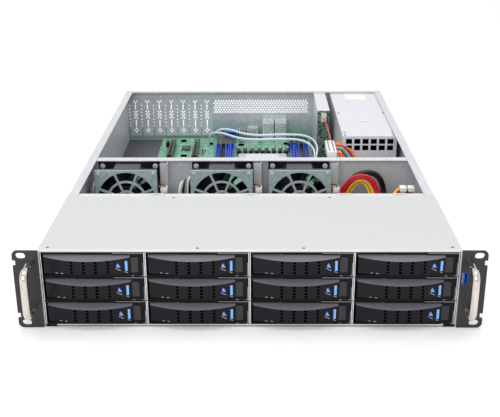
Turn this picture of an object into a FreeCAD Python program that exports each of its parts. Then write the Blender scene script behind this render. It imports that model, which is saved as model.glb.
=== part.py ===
"""2U rack server with twelve 3.5 inch drive carriers, built as separate pieces.

Millimetres. X runs to the right, Y from the front to the back, Z up. The origin is the centre of the four
rack ear slots, on the rear face of the ears, which is also the front edge of the chassis body.
"""
import math
import os

import FreeCAD
import Part

# Chassis
body_width = 430.0
body_height = 88.0
body_depth = 655.0
sheet = 1.2
bend_radius = 2.0
side_lip = 10.5
rear_lip = 12.0
front_lip_height = 2.6
front_lip_relief = 12.0
standoff_height = 4.2
standoff_flats = 5.5

# How far the body is from its design size, across, along and up
across = body_width / 430.0
along = body_depth / 655.0
upright = body_height / 88.0

# Rack standard (19 inch, 2U)
rack_width = 482.6
rack_hole_pitch_x = 465.1
rack_hole_pitch_z = 76.2 * upright
rack_slot_length = 10.0
rack_slot_width = 6.7

# Front cover
cover_depth = 152.0
cover_gap = 0.5
cover_tab_width = 16.0
cover_tab_length = 10.0
cover_tab_slot_width = 9.0
cover_tab_slot_length = 3.0
cover_tab_positions = tuple(x * across for x in (-110.0, 0.0, 110.0, 175.0))

# Rack ears
ear_thickness = 2.5
ear_height = 87.2 * upright
ear_corner = 5.0
ear_flange_thickness = 1.5
ear_flange_depth = 12.0
ear_flange_height = 74.0 * upright
ear_notch_depth = 3.0
ear_notch_height = 6.0
ear_notch_z = 30.0
pod_width = 8.6
pod_depth = 15.0
pod_height = 17.0
usb_z = 13.0
usb_opening_width = 5.4
usb_opening_height = 12.6

# Ear handles
handle_x = 223.5
handle_top_z = 30.0
handle_bottom_z = -19.0
handle_reach = 28.0
handle_radius = 4.0
handle_sides = 24
handle_corner = 9.0

# Drive cage
column_count = 4
row_count = 3
row_pitch = 27.5 * upright
cage_sheet = 1.0
cage_start = 12.8
ledge_width = 2.4
ledge_height = 0.8
cage_strap_depth = 10.0

# Drives
drive_length = 147.0
connector_width = 42.0
connector_height = 6.0
connector_depth = 3.4
connector_gap = 0.3

# Carriers
bezel_gap = 0.3
bezel_depth = 12.0
runner_gap = 0.3
runner_thickness = 1.725
carrier_web = 1.2
runner_end = 150.0
air_window_start = 36.0
air_window_inset = 24.05
air_window_height = 15.0 * upright
rim_step = 0.8
rim_step_start = 30.0
rim_step_inset = 33.05
rim_step_slant = 7.0
foot_block_inset = 11.05
foot_block_width = 7.0
foot_block_height = 3.0
foot_block_depth = 0.6
foot_block_drop = 12.6 * upright

# Carrier levers: places from the left edge of the bezel, insets from its right edge
lever_gap = 0.35
lever_inset = 14.55
lever_bow = 9.0
lever_end_bow = 2.25
lever_back = 2.6
lever_height = 19.4 * upright
lever_slope = 0.29
lever_pivot_x = 6.0
lever_pivot_y = 2.2
lever_knuckle = 3.5
lever_tip_x = 3.4
lever_tip_y = -1.4
lever_block_end = 25.0
lever_block_slant = 8.0
lever_pocket_height = 12.8 * upright
lever_wall = 2.4

# Carrier release buttons: insets from the right edge of the bezel
release_gap = 0.3
latch_inset = 19.55
latch_width = 2.5
latch_height = 11.0
latch_front = 3.5
pad_inset = 14.15
pad_width = 7.6
pad_height = 16.8 * upright
pad_proud = 0.8
release_plate = 1.4
release_travel = 2.0

# Backplane
backplane_thickness = 1.6
backplane_side_gap = 1.5
backplane_height = 81.5 * upright
backplane_step = 6.0
backplane_step_width = 26.0
backplane_window_width = 58.0
backplane_window_height = 9.0 * upright
backplane_window_rise = 6.0 * upright
backplane_plug_depth = 9.0

# Fans and fan wall
fan_size = 80.0 * upright
fan_depth = 38.0
fan_front = 255.0 * along
fan_centres = tuple(x * across for x in (-161.3, -38.4, 62.0))
fan_centre_z = 0.5
fan_flange = 5.0
fan_duct_outer = 39.4 * upright
fan_bore = 37.5 * upright
motor_radius = 17.5
motor_plate = 4.0
strut_width = 4.0
strut_count = 4
duct_sides = 8
motor_sides = 16
hub_sides = 20
tip_sides = 24
guard_thickness = 1.5
guard_reach = 41.0 * upright
guard_spoke_width = 2.7
guard_spoke_count = 8
hub_radius = 17.0
hub_front_gap = 4.0
hub_gap = 0.3
blade_count = 5
blade_tip_gap = 0.9
blade_thickness = 1.3
blade_root_pitch = 58.0
blade_tip_pitch = 42.0
blade_root_sink = 2.0
blade_inset = 1.5
blade_stations = 1
wall_sheet = 1.0
wall_top_gap = 0.5
wall_flange_front = 6.5
wall_flange_back = 5.5
wall_foot = 14.0
wall_window = 75.0 * upright
cable_gate_width = 26.0
cable_gate_height = 18.0
cable_gate_rise = 5.0
cable_gate_centres = tuple(x * across for x in (-96.0, 122.0))
bracket_width = 10.0
bracket_depth = 14.0
bracket_height = 44.0 * upright
bracket_gap = 1.5

# Motherboard and what stands on it
board_left = -154.0 * across
board_width = 251.0 * across
board_front = 316.0 * along
board_back = 646.0 * along
board_thickness = 1.6
board_notch = 18.0
standoff_inset = 12.0
dimm_centres = tuple(x * across for x in (-57.0, -49.2, -41.5, -33.9, 63.9, 72.2, 79.7, 87.3))
dimm_length = 133.0 * along
dimm_width = 6.4
dimm_height = 8.0
dimm_back = 588.0 * along
dimm_groove = 1.6
dimm_groove_depth = 4.5
latch_length = 7.0
latch_rise = 20.0
pcie_centres = tuple(x * across for x in (-132.5, -93.0))
pcie_width = 8.2
pcie_height = 11.2
pcie_front = 517.0 * along
pcie_length = 89.0 * along
pcie_groove = 1.8
pcie_groove_depth = 7.0
header_centres = tuple(x * across for x in (-149.5, -142.5))
header_width = 5.2
header_length = 45.0 * along
header_height = 8.5
header_front = 470.0 * along
chip_x = -111.0 * across
chip_y = 586.0 * along
chip_width = 14.0
chip_length = 21.0
chip_height = 2.2
socket_x = 15.4 * across
socket_y = 520.0 * along
socket_width = 76.0 * across
socket_length = 56.0 * along
socket_plate = 4.0
socket_window_width = 52.0 * across
socket_window_length = 42.0 * along
socket_cover_height = 5.5
sink_x = -10.0 * across
sink_y = 626.0 * along
sink_width = 36.0 * across
sink_length = 22.0
sink_base = 3.0
sink_height = 22.0
sink_fin = 1.2
sink_fin_count = 9
second_sink_x = 15.4 * across
second_sink_y = 463.0 * along
second_sink_width = 64.0 * across
second_sink_length = 20.0

# Rear panel
slot_count = 7
slot_pitch = 20.32 * across
slot_first_x = -200.8 * across
slot_opening_width = 13.0 * across
slot_opening_low = -30.0 * upright
slot_opening_high = 29.0 * upright
slot_cover_width = 18.4 * across
slot_cover_thickness = 0.9
slot_cover_overlap = 4.5
shield_left = -66.6 * across
shield_width = 158.75 * across
shield_low = -40.8 * upright
shield_height = 44.45
shield_thickness = 0.5
shield_rim = 1.2
port_gap = 0.4

# Rear ports
vga_x = -40.0 * across
vga_width = 31.0
vga_height = 12.5
vga_body_width = 20.0
vga_depth = 17.0
stack_centres = tuple(x * across for x in (25.8, 47.3))
stack_width = 17.6
stack_height = 30.0
stack_depth = 24.0
jack_width = 11.8
jack_height = 9.0
jack_depth = 12.0
jack_rise = 18.5
usb_width = 13.2
usb_height = 5.4
usb_depth = 9.0
usb_tongue = 1.8
usb_rises = (2.0, 9.8)
usb_tower_x = 0.0 * across
usb_tower_width = 15.2
usb_tower_height = 17.2
port_proud = 0.4

# Power supply
psu_left = 129.0 * across
psu_width = 77.5 * across
psu_front = 396.7 * along
psu_height = 84.8 * upright
psu_sheet = 1.0
psu_vent_columns = 6
psu_vent_width = 8.8 * across
psu_vent_height = 7.5
psu_vent_pitch_x = 11.8 * across
psu_vent_pitch_z = 9.6
psu_vent_rows = 2
psu_vent_top = 4.0
module_gap = 0.3
module_length = 205.0
inlet_width = 27.0
inlet_height = 20.0
inlet_depth = 16.0
inlet_inset = 5.0
pull_width = 18.0
pull_reach = 20.0
pull_height = 30.0
pull_thickness = 3.0
pull_inset = 4.0

# Rear 2.5 inch bay
bay_left = 101.5 * across
bay_width = 19.1 * across
bay_front = 530.0 * along
bay_top_gap = 1.5
bay_sheet = 1.0
bay_board_thickness = 1.6
bay_board_drop = 11.0
bay_plug_width = 8.0
bay_plug_height = 12.0
bay_plug_depth = 6.0

# Screws and rail studs
stud_radius = 3.0
stud_length = 2.4
stud_positions = tuple((y * along, z * upright) for y, z in ((395.0, 32.0), (620.0, 32.0)))

# Cables: each route is a list of points from one connector to the other
feed_radius = 4.0
feed_route = ((162.0, 396.7, -30.0), (162.0, 370.0, -30.0), (148.0, 346.0, -30.0), (129.0, 326.0, -29.0),
              (122.0, 294.0, -28.0), (119.0, 268.0, -16.0), (118.0, 258.0, 8.0), (130.0, 256.0, 30.0),
              (150.0, 255.0, 31.0), (160.0, 250.0, 10.0), (158.0, 236.0, -12.0), (160.0, 208.0, -32.0),
              (160.0, 174.5, -32.0))
loom_radius = 6.0
loom_route = ((118.0, 372.0, 26.0), (135.0, 372.0, 26.0), (147.0, 369.0, 12.0), (148.0, 367.0, -6.0),
              (148.0, 378.0, -18.0), (148.0, 396.7, -18.0))
plug_start = 14.0
plug_width = 13.0
plug_length = 52.0
plug_height = 12.0
sata_radius = 2.0
sata_routes = (((-74.0, 598.0, -37.0), (-74.0, 598.0, -17.0), (-56.0, 582.0, -7.0), (-16.0, 538.0, -8.0),
                (36.0, 540.0, -7.0), (80.0, 542.0, -8.0), (97.0, 500.0, -10.0), (93.0, 450.0, -16.0),
                (93.0, 450.0, -37.0)),
               ((-66.0, 606.0, -37.0), (-66.0, 606.0, -14.0), (-44.0, 588.0, -3.0), (-6.0, 548.0, -4.0),
                (44.0, 552.0, -3.0), (88.0, 552.0, -4.0), (103.0, 504.0, -6.0), (93.5, 441.0, -12.0),
                (93.5, 441.0, -37.0)))

# Places worked out from the values above
half_width = body_width / 2
inner_half = half_width - sheet
base_z = -body_height / 2
top_z = body_height / 2
floor_z = base_z + sheet
under_top = top_z - sheet
column_pitch = (2 * inner_half - cage_sheet) / column_count
bezel_width = column_pitch - 2 * bezel_gap
bezel_half = row_pitch / 2 - bezel_gap
lever_end = bezel_width - lever_inset
lever_middle = (lever_tip_x + lever_end) / 2
latch_start = bezel_width - latch_inset
pad_start = bezel_width - pad_inset
air_window_end = bezel_width - air_window_inset
rim_step_end = bezel_width - rim_step_inset
foot_block_start = bezel_width - foot_block_inset
drive_front = bezel_depth + carrier_web
drive_back = drive_front + drive_length
cage_back = drive_back + connector_gap + connector_depth
backplane_back = cage_back + backplane_thickness
drive_width = column_pitch - cage_sheet - 2 * (runner_gap + runner_thickness)
drive_height = row_pitch - ledge_height - 2 * runner_gap
carrier_half = (column_pitch - cage_sheet) / 2 - runner_gap
fan_back = fan_front + fan_depth
wall_back = fan_back + wall_sheet
wall_top = top_z - wall_top_gap
board_bottom = floor_z + standoff_height
board_top = board_bottom + board_thickness
panel_front = body_depth - sheet
cover_front = panel_front - slot_cover_thickness
psu_right = psu_left + psu_width
psu_top = floor_z + psu_height
module_height = (psu_height - 3 * psu_sheet) / 2 - 2 * module_gap
module_front = body_depth - module_length
lever_half = lever_height / 2


def vec(x, y, z):
    return FreeCAD.Vector(x, y, z)


def box(x, y, z):
    """A block from three (low, high) pairs."""
    return Part.makeBox(x[1] - x[0], y[1] - y[0], z[1] - z[0], vec(x[0], y[0], z[0]))


def about(centre, size):
    """The (low, high) pair of a size centred on a value."""
    return (centre - size / 2, centre + size / 2)


def plan(u, v, w):
    """X, Y outline; w is Z."""
    return vec(u, v, w)


def front(u, v, w):
    """X, Z outline; w is Y."""
    return vec(u, w, v)


def side(u, v, w):
    """Y, Z outline; w is X."""
    return vec(w, u, v)


def corner_edges(before, corner, after, radius):
    """The ends and middle of the arc that rounds one corner of an outline."""
    to_before = (before - corner).normalize()
    to_after = (after - corner).normalize()
    half_angle = to_before.getAngle(to_after) / 2
    reach = radius / math.tan(half_angle)
    bisector = (to_before + to_after).normalize()
    middle = corner + bisector * (radius / math.sin(half_angle) - radius)
    return corner + to_before * reach, middle, corner + to_after * reach


def outline(points, place, level):
    """A closed wire through points (u, v), or (u, v, radius) where the corner is rounded."""
    corners = [place(p[0], p[1], level) for p in points]
    count = len(points)
    edges = []
    starts = []
    ends = []
    for i, point in enumerate(points):
        if len(point) == 3 and point[2] > 0:
            first, middle, last = corner_edges(corners[i - 1], corners[i], corners[(i + 1) % count], point[2])
            starts.append(first)
            ends.append(last)
            edges.append(Part.Arc(first, middle, last).toShape())
        else:
            starts.append(corners[i])
            ends.append(corners[i])
    for i in range(count):
        begin, finish = ends[i], starts[(i + 1) % count]
        if begin.distanceToPoint(finish) > 1e-6:
            edges.append(Part.LineSegment(begin, finish).toShape())
    return Part.Wire(Part.__sortEdges__(edges))


def prism(place, points, low, high):
    """An outline pushed from one level to another along the normal of its plane."""
    face = Part.Face(outline(points, place, low))
    return face.extrude(place(0, 0, high) - place(0, 0, low))


def rectangle(u, v, radius=0.0):
    """The corners of a rectangle from two (low, high) pairs, all rounded alike."""
    return [(u[0], v[0], radius), (u[1], v[0], radius), (u[1], v[1], radius), (u[0], v[1], radius)]


def rod(start, axis, radius, length):
    return Part.makeCylinder(radius, length, start, axis)


def join(shapes):
    """One solid from pieces that touch, with the seams between coplanar faces removed."""
    return shapes[0].multiFuse(shapes[1:]).removeSplitter()


def mirror_x(shape):
    return shape.mirror(vec(0, 0, 0), vec(1, 0, 0))


def moved(shape, x, y, z):
    copy = shape.copy()
    copy.translate(vec(x, y, z))
    return copy


def save(node, solids):
    """Write one node, checking that every solid in it is sound."""
    pieces = []
    for shape in solids:
        pieces.extend(shape.Solids)
    for piece in pieces:
        if not piece.isValid() or piece.Volume <= 0:
            raise ValueError(node + " has a bad solid")
    compound = Part.makeCompound(pieces)
    compound.exportStep(os.path.join("parts", node + ".step"))
    print(node, len(pieces), "solids", round(compound.Volume / 1000, 1), "cm3")


# Chassis

def standoffs():
    """Hexagonal board standoffs, one under each corner and the middle of each long edge."""
    radius = standoff_flats / math.sqrt(3)
    xs = (board_left + standoff_inset, board_left + board_width - standoff_inset)
    ys = (board_front + standoff_inset, (board_front + board_back) / 2, board_back - standoff_inset)
    studs = []
    for x in xs:
        for y in ys:
            turns = [math.radians(60 * k) for k in range(6)]
            corners = [(x + radius * math.cos(turn), y + radius * math.sin(turn)) for turn in turns]
            studs.append(prism(plan, corners, floor_z, board_bottom))
    return studs


def chassis_tray():
    """One bent sheet: floor, side walls and the lips folded in along their top edges."""
    section = [
        (-half_width, base_z, bend_radius), (half_width, base_z, bend_radius),
        (half_width, top_z, bend_radius), (inner_half - side_lip, top_z),
        (inner_half - side_lip, under_top), (inner_half, under_top),
        (inner_half, floor_z), (-inner_half, floor_z),
        (-inner_half, under_top), (-inner_half + side_lip, under_top),
        (-inner_half + side_lip, top_z), (-half_width, top_z, bend_radius),
    ]
    tray = prism(front, section, 0, body_depth)
    lips_start = cover_depth + cover_gap
    lips_end = body_depth - rear_lip - cover_gap
    tray = tray.cut([
        box((-half_width, half_width), (0, lips_start), (under_top, top_z)),
        box((-inner_half, inner_half), (lips_end, body_depth), (under_top, top_z)),
    ])
    lip_x = (-inner_half + front_lip_relief, inner_half - front_lip_relief)
    front_lip = box(lip_x, (0, sheet), (floor_z, base_z + front_lip_height))
    return join([tray, front_lip] + standoffs())


def front_cover():
    """Cover over the drive cage, with hook tabs that slip under the top of the chassis."""
    lip = box((-inner_half, inner_half), (0, sheet), (top_z - front_lip_height, under_top))
    plate = prism(side, [(0, under_top), (cover_depth, under_top), (cover_depth, top_z), (0, top_z, sheet)],
                  -half_width, half_width)
    tabs = []
    slots = []
    for x in cover_tab_positions:
        tab_y = (cover_depth - sheet, cover_depth + cover_tab_length)
        tabs.append(box(about(x, cover_tab_width), tab_y, (under_top, top_z)))
        slot_y = about(cover_depth + cover_tab_length / 2, cover_tab_slot_length)
        slots.append(box(about(x, cover_tab_slot_width), slot_y, (under_top, top_z)))
    return join([plate, lip] + tabs).cut(slots)


def rear_panel_plate():
    """Rear panel with its top edge folded forward and all its openings."""
    section = [(panel_front, floor_z), (body_depth, floor_z), (body_depth, top_z, sheet),
               (body_depth - rear_lip, top_z), (body_depth - rear_lip, under_top), (panel_front, under_top)]
    panel = prism(side, section, -inner_half, inner_half)
    through = (panel_front, body_depth)
    openings = []
    for k in range(slot_count):
        x = slot_first_x + slot_pitch * k
        openings.append(box(about(x, slot_opening_width), through, (slot_opening_low, slot_opening_high)))
    shield_x = (shield_left, shield_left + shield_width)
    openings.append(box(shield_x, through, (shield_low, shield_low + shield_height)))
    openings.append(box((psu_left, psu_right), through, (floor_z, psu_top)))
    bay_x = (bay_left + bay_sheet, bay_left + bay_width - bay_sheet)
    openings.append(box(bay_x, through, (floor_z + bay_sheet, bay_top() - bay_sheet)))
    return panel.cut(openings)


def port_outlines():
    """The outline of each group of rear ports, as (x pair, z pair)."""
    outlines = [(about(vga_x, vga_width), (board_top, board_top + vga_height)),
                (about(usb_tower_x, usb_tower_width), (board_top, board_top + usb_tower_height))]
    for x in stack_centres:
        outlines.append((about(x, stack_width), (board_top, board_top + stack_height)))
    return outlines


def io_shield():
    """Thin stamped plate in the rear panel, with a folded rim and a window for each group of ports."""
    x = (shield_left, shield_left + shield_width)
    z = (shield_low, shield_low + shield_height)
    rim_x = (x[0] + shield_rim, x[1] - shield_rim)
    rim_z = (z[0] + shield_rim, z[1] - shield_rim)
    shield = box(x, (panel_front, body_depth), z)
    windows = [box(rim_x, (panel_front, body_depth - shield_thickness), rim_z)]
    for port_x, port_z in port_outlines():
        window_x = (port_x[0] - port_gap, port_x[1] + port_gap)
        window_z = (max(port_z[0] - port_gap, rim_z[0]), port_z[1] + port_gap)
        windows.append(box(window_x, (panel_front, body_depth), window_z))
    return shield.cut(windows)


def slot_covers():
    """Flat blanks that close the expansion slots from inside, with rounded corners."""
    blanks = []
    z = (slot_opening_low - slot_cover_overlap, slot_opening_high + slot_cover_overlap)
    for k in range(slot_count):
        x = about(slot_first_x + slot_pitch * k, slot_cover_width)
        blanks.append(box(x, (cover_front, panel_front), z))
    return blanks


# Rack ears and handles

def obround(x, z, length, width):
    """Outline of a slot with round ends, running along X."""
    return rectangle(about(x, length), about(z, width), width / 2 - 0.001)


def rack_ear():
    """Right ear: plate with slots and notches, and a flange along the side of the chassis."""
    outer = rack_width / 2
    half = ear_height / 2
    notch = outer - ear_notch_depth
    points = [(half_width, -half), (outer, -half, ear_corner)]
    for centre in (-ear_notch_z, ear_notch_z):
        low, high = about(centre, ear_notch_height)
        points += [(outer, low), (notch, low), (notch, high), (outer, high)]
    points += [(outer, half, ear_corner), (half_width, half)]
    plate = prism(front, points, -ear_thickness, 0)
    flange_x = (half_width, half_width + ear_flange_thickness)
    flange = box(flange_x, (-ear_thickness, ear_flange_depth), about(0, ear_flange_height))
    slots = []
    for z in (-rack_hole_pitch_z / 2, rack_hole_pitch_z / 2):
        slot = obround(rack_hole_pitch_x / 2, z, rack_slot_length, rack_slot_width)
        slots.append(prism(front, slot, -ear_thickness, 0))
    return join([plate, flange]).cut(slots)


def usb_ear():
    """Right ear with the pod that holds the front USB port."""
    pod_x = (half_width, half_width + pod_width)
    pod = box(pod_x, (-ear_thickness, pod_depth), about(usb_z, pod_height))
    opening = box(usb_opening_x(), (-ear_thickness, pod_depth), about(usb_z, usb_opening_height))
    return join([rack_ear(), pod]).cut([opening])


def usb_opening_x():
    start = half_width + ear_flange_thickness
    return (start, start + usb_opening_width)


def ear_handle():
    """Right arch handle: a round bar with mitred corners."""
    root_y = -ear_thickness
    grip_y = root_y - handle_reach
    route = [(root_y, handle_bottom_z), (grip_y + handle_corner, handle_bottom_z),
             (grip_y, handle_bottom_z + handle_corner), (grip_y, handle_top_z - handle_corner),
             (grip_y + handle_corner, handle_top_z), (root_y, handle_top_z)]
    path = Part.makePolygon([vec(handle_x, y, z) for y, z in route])
    root = vec(handle_x, root_y, handle_bottom_z)
    turns = [2 * math.pi * k / handle_sides for k in range(handle_sides)]
    rim = [root + vec(handle_radius * math.cos(turn), 0, handle_radius * math.sin(turn)) for turn in turns]
    section = Part.makePolygon(rim + rim[:1])
    mitred = 1
    return Part.Solid(path.makePipeShell([section], True, False, mitred))


# Drive bays

def column_left(column):
    """Left edge of a column's bezels."""
    return column_pitch * (column - column_count / 2) + bezel_gap


def row_middle(row):
    """Height of a row's centre; row 0 is the lowest."""
    return row_pitch * (row - (row_count - 1) / 2)


def drive_cage():
    """Base plate, dividers with guide ledges and two straps across the top, as one welded part."""
    depth = (cage_start, cage_back)
    stack_low = row_middle(0) - row_pitch / 2
    parts = [box((-inner_half, inner_half), depth, (floor_z, floor_z + cage_sheet))]
    for k in range(column_count + 1):
        x = column_pitch * (k - column_count / 2)
        half = cage_sheet / 2
        left = half + (ledge_width if k > 0 else 0)
        right = half + (ledge_width if k < column_count else 0)
        parts.append(box((x - half, x + half), depth, (floor_z, under_top)))
        for row in range(row_count):
            low = stack_low + row_pitch * row
            parts.append(box((x - left, x + right), depth, (low, low + ledge_height)))
    for start in (cage_start, cage_back - cage_strap_depth):
        strap_y = (start, start + cage_strap_depth)
        parts.append(box((-inner_half, inner_half), strap_y, (under_top - cage_sheet, under_top)))
    return join(parts)


def bezel(left, middle):
    """Carrier bezel: a moulded frame recessed for the lever and the release button."""
    right = left + bezel_width
    frame = box((left, right), (0, bezel_depth), (middle - bezel_half, middle + bezel_half))
    main_half = lever_half + lever_slope * lever_back + lever_gap
    main = box((left + lever_block_end, left + lever_end + lever_gap), (0, lever_back + lever_gap),
               about(middle, 2 * main_half))
    block_y = lever_pivot_y + lever_knuckle
    block_half = lever_half + lever_slope * block_y + lever_gap
    swing = math.hypot(lever_pivot_x - lever_tip_x, lever_pivot_y - lever_tip_y)
    block_left = left + lever_pivot_x - swing - lever_gap
    block_right = left + lever_block_end + lever_gap
    block = prism(plan, [(block_left, 0), (block_right + lever_block_slant, 0),
                         (block_right + lever_block_slant, lever_back + lever_gap),
                         (block_right, block_y + lever_gap), (block_left, block_y + lever_gap)],
                  middle - block_half, middle + block_half)
    release_x = (left + latch_start - release_gap, left + pad_start + pad_width + release_gap)
    release_y = (0, release_back() + release_travel + release_gap)
    release = box(release_x, release_y, about(middle, pad_height + 2 * release_gap))
    air_x = (left + air_window_start, left + air_window_end)
    air = box(air_x, (0, bezel_depth), about(middle, air_window_height))
    step_points = [(left + rim_step_start, middle + main_half), (left + rim_step_end, middle + main_half),
                   (left + rim_step_end + rim_step_slant, middle + bezel_half),
                   (left + rim_step_start, middle + bezel_half)]
    step = prism(front, step_points, 0, rim_step)
    foot_low = middle - foot_block_drop
    foot_x = (left + foot_block_start, left + foot_block_start + foot_block_width)
    foot = box(foot_x, (-foot_block_depth, 0),
               (foot_low, foot_low + foot_block_height))
    return join([frame.cut([main, block, release, air, step]), foot])


def carrier_tray(left, middle):
    """Pressed tray: a web behind the bezel and a runner along each side of the drive."""
    centre = left + bezel_width / 2
    low = middle - row_pitch / 2 + ledge_height + runner_gap
    high = middle + bezel_half
    outer = (centre - carrier_half, centre + carrier_half)
    inner = about(centre, drive_width)
    tray = box(outer, (bezel_depth, runner_end), (low, high))
    gap = box(inner, (bezel_depth + carrier_web, runner_end), (low, high))
    air = box((left + air_window_start, left + air_window_end), (bezel_depth, drive_front),
              about(middle, air_window_height))
    return tray.cut([gap, air])


def drive(left, middle):
    """3.5 inch drive."""
    low = middle - row_pitch / 2 + ledge_height + runner_gap
    x = about(left + bezel_width / 2, drive_width)
    return box(x, (drive_front, drive_back), (low, low + drive_height))


def lever_plan(left):
    """Lever seen from above: bowed front, round knuckle at the hinge and a deeper block beside it."""
    pivot = (left + lever_pivot_x, lever_pivot_y)
    block_back = lever_pivot_y + lever_knuckle
    turn = lever_knuckle * math.sqrt(0.5)
    tip = vec(left + lever_tip_x, lever_tip_y, 0)
    bow = vec(left + lever_middle, -lever_bow, 0)
    end = vec(left + lever_end, -lever_end_bow, 0)
    knuckle_back = vec(pivot[0], block_back, 0)
    knuckle_side = vec(pivot[0] - lever_knuckle, pivot[1], 0)
    knuckle_middle = vec(pivot[0] - turn, pivot[1] + turn, 0)
    corners = [end, vec(left + lever_end, lever_back, 0),
               vec(left + lever_block_end + lever_block_slant, lever_back, 0),
               vec(left + lever_block_end, block_back, 0), knuckle_back]
    edges = [Part.Arc(tip, bow, end).toShape()]
    for first, second in zip(corners, corners[1:]):
        edges.append(Part.LineSegment(first, second).toShape())
    edges.append(Part.Arc(knuckle_back, knuckle_middle, knuckle_side).toShape())
    edges.append(Part.LineSegment(knuckle_side, tip).toShape())
    return Part.Face(Part.Wire(edges))


def lever(left, middle):
    """Hinged lever: bevelled above and below, hollow behind, with a window for the latch."""
    block_back = lever_pivot_y + lever_knuckle
    height = 2 * (lever_half + lever_slope * block_back)
    body = lever_plan(left).extrude(vec(0, 0, height))
    body.translate(vec(0, 0, middle - height / 2))
    front_y = -lever_bow - 1
    front_half = lever_half + lever_slope * front_y
    back_half = lever_half + lever_slope * block_back
    bevel = prism(side, [(front_y, middle - front_half), (front_y, middle + front_half),
                         (block_back, middle + back_half), (block_back, middle - back_half)],
                  left, left + bezel_width)
    near = lever_end_bow - 1.0
    deep = lever_bow - lever_wall - 1.0
    pocket_left = left + lever_tip_x + lever_knuckle + lever_wall
    pocket_right = left + latch_start - lever_wall
    shoulder = (pocket_right - pocket_left) / 4
    pocket = prism(plan, [(pocket_left, block_back), (pocket_left, -near), (pocket_left + shoulder, -deep),
                          (pocket_right - shoulder, -deep), (pocket_right, -near),
                          (pocket_right, block_back)],
                   middle - lever_pocket_height / 2, middle + lever_pocket_height / 2)
    latch_x = (left + latch_start - release_gap, left + latch_start + latch_width + release_gap)
    window = box(latch_x, (front_y, block_back), about(middle, latch_height + 2 * release_gap))
    return body.common(bevel).cut([pocket, window])


def release_back():
    return lever_back + lever_gap + release_plate


def release(left, middle):
    """Release button: thumb pad, and a latch bar that stands through the lever."""
    plate_y = (lever_back + lever_gap, release_back())
    latch_x = (left + latch_start, left + latch_start + latch_width)
    pad_x = (left + pad_start, left + pad_start + pad_width)
    latch = box(latch_x, (-latch_front, release_back()), about(middle, latch_height))
    arm = box((latch_x[0], pad_x[0]), plate_y, about(middle, latch_height))
    pad = box(pad_x, (-pad_proud, release_back()), about(middle, pad_height))
    return join([latch, arm, pad])


def backplane():
    """Backplane board with air windows, and the connectors on its two faces."""
    half = inner_half - backplane_side_gap
    low = floor_z + cage_sheet
    high = low + backplane_height
    step = backplane_step
    points = [(-half, low), (half, low), (half, high - step), (half - step, high)]
    for k in (1, 0, -1):
        x = column_pitch * k
        reach = backplane_step_width / 2
        points += [(x + reach, high), (x + reach - step, high - step),
                   (x - reach + step, high - step), (x - reach, high)]
    points += [(-half + step, high), (-half, high - step)]
    board = prism(front, points, cage_back, backplane_back)
    windows = []
    solids = []
    for column in range(column_count):
        centre = column_left(column) + bezel_width / 2
        for row in range(row_count):
            middle = row_middle(row)
            drive_low = middle - row_pitch / 2 + ledge_height + runner_gap
            rise = middle + backplane_window_rise
            windows.append(box(about(centre, backplane_window_width), (cage_back, backplane_back),
                               about(rise, backplane_window_height)))
            solids.append(box(about(centre, connector_width), (cage_back - connector_depth, cage_back),
                              (drive_low + 1, drive_low + 1 + connector_height)))
        plug_low = row_middle(0) - backplane_window_height
        solids.append(box(about(centre, 2 * backplane_plug_depth),
                          (backplane_back, backplane_back + backplane_plug_depth),
                          (plug_low, plug_low + backplane_plug_depth)))
    return [board.cut(windows)] + solids


# Fans

def spoke_set(count, inner, outer, width, y, x):
    """Straight spokes in a fan's bore, evenly spaced about its centre."""
    spokes = []
    for k in range(count):
        spoke = box((inner, outer), y, about(0, width))
        spoke.rotate(vec(0, 0, 0), vec(0, 1, 0), 360.0 / count * (k + 0.5))
        spokes.append(moved(spoke, x, 0, fan_centre_z))
    return spokes


def many_sided(x, z, radius, sides, y):
    """A prism along Y with a regular outline, turned so that it has a flat side at the top."""
    corners = []
    for k in range(sides):
        turn = 2 * math.pi * (k + 0.5) / sides
        corners.append((x + radius * math.sin(turn), z + radius * math.cos(turn)))
    return prism(front, corners, y[0], y[1])


def fan_guard(x):
    """Finger guard in front of a fan: eight flat spokes that meet in the middle."""
    y = (fan_front - guard_thickness, fan_front)
    return join(spoke_set(guard_spoke_count, 0, guard_reach, guard_spoke_width, y, x))


def fan_housing(x):
    """Fan frame: two square flanges on an eight-sided duct, a round bore, and a motor plate on struts."""
    axis = vec(0, 1, 0)
    whole = box(about(x, fan_size), (fan_front, fan_back), about(fan_centre_z, fan_size))
    start = vec(x, fan_front, fan_centre_z)
    waist_y = (fan_front + fan_flange, fan_back - fan_flange)
    duct = many_sided(x, fan_centre_z, fan_duct_outer / math.cos(math.pi / duct_sides), duct_sides, waist_y)
    waist = box(about(x, fan_size), waist_y, about(fan_centre_z, fan_size)).cut(duct)
    frame = whole.cut(waist).cut(rod(start, axis, fan_bore, fan_depth))
    motor_y = (fan_back - motor_plate, fan_back)
    motor = spoke_set(strut_count, motor_radius - 1, fan_bore + 0.5, strut_width, motor_y, x)
    motor.append(many_sided(x, fan_centre_z, motor_radius, motor_sides, motor_y))
    return join([frame] + motor)


def blade_section(radius, pitch):
    """The four corners of a blade at one radius: a thin plate at a pitch angle."""
    depth = hub_length() - 2 * blade_inset
    half = depth / math.tan(math.radians(pitch)) / 2
    thick = blade_thickness / math.sin(math.radians(pitch)) / 2
    return [vec(-half - thick, blade_inset, radius), vec(-half + thick, blade_inset, radius),
            vec(half + thick, blade_inset + depth, radius), vec(half - thick, blade_inset + depth, radius)]


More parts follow.
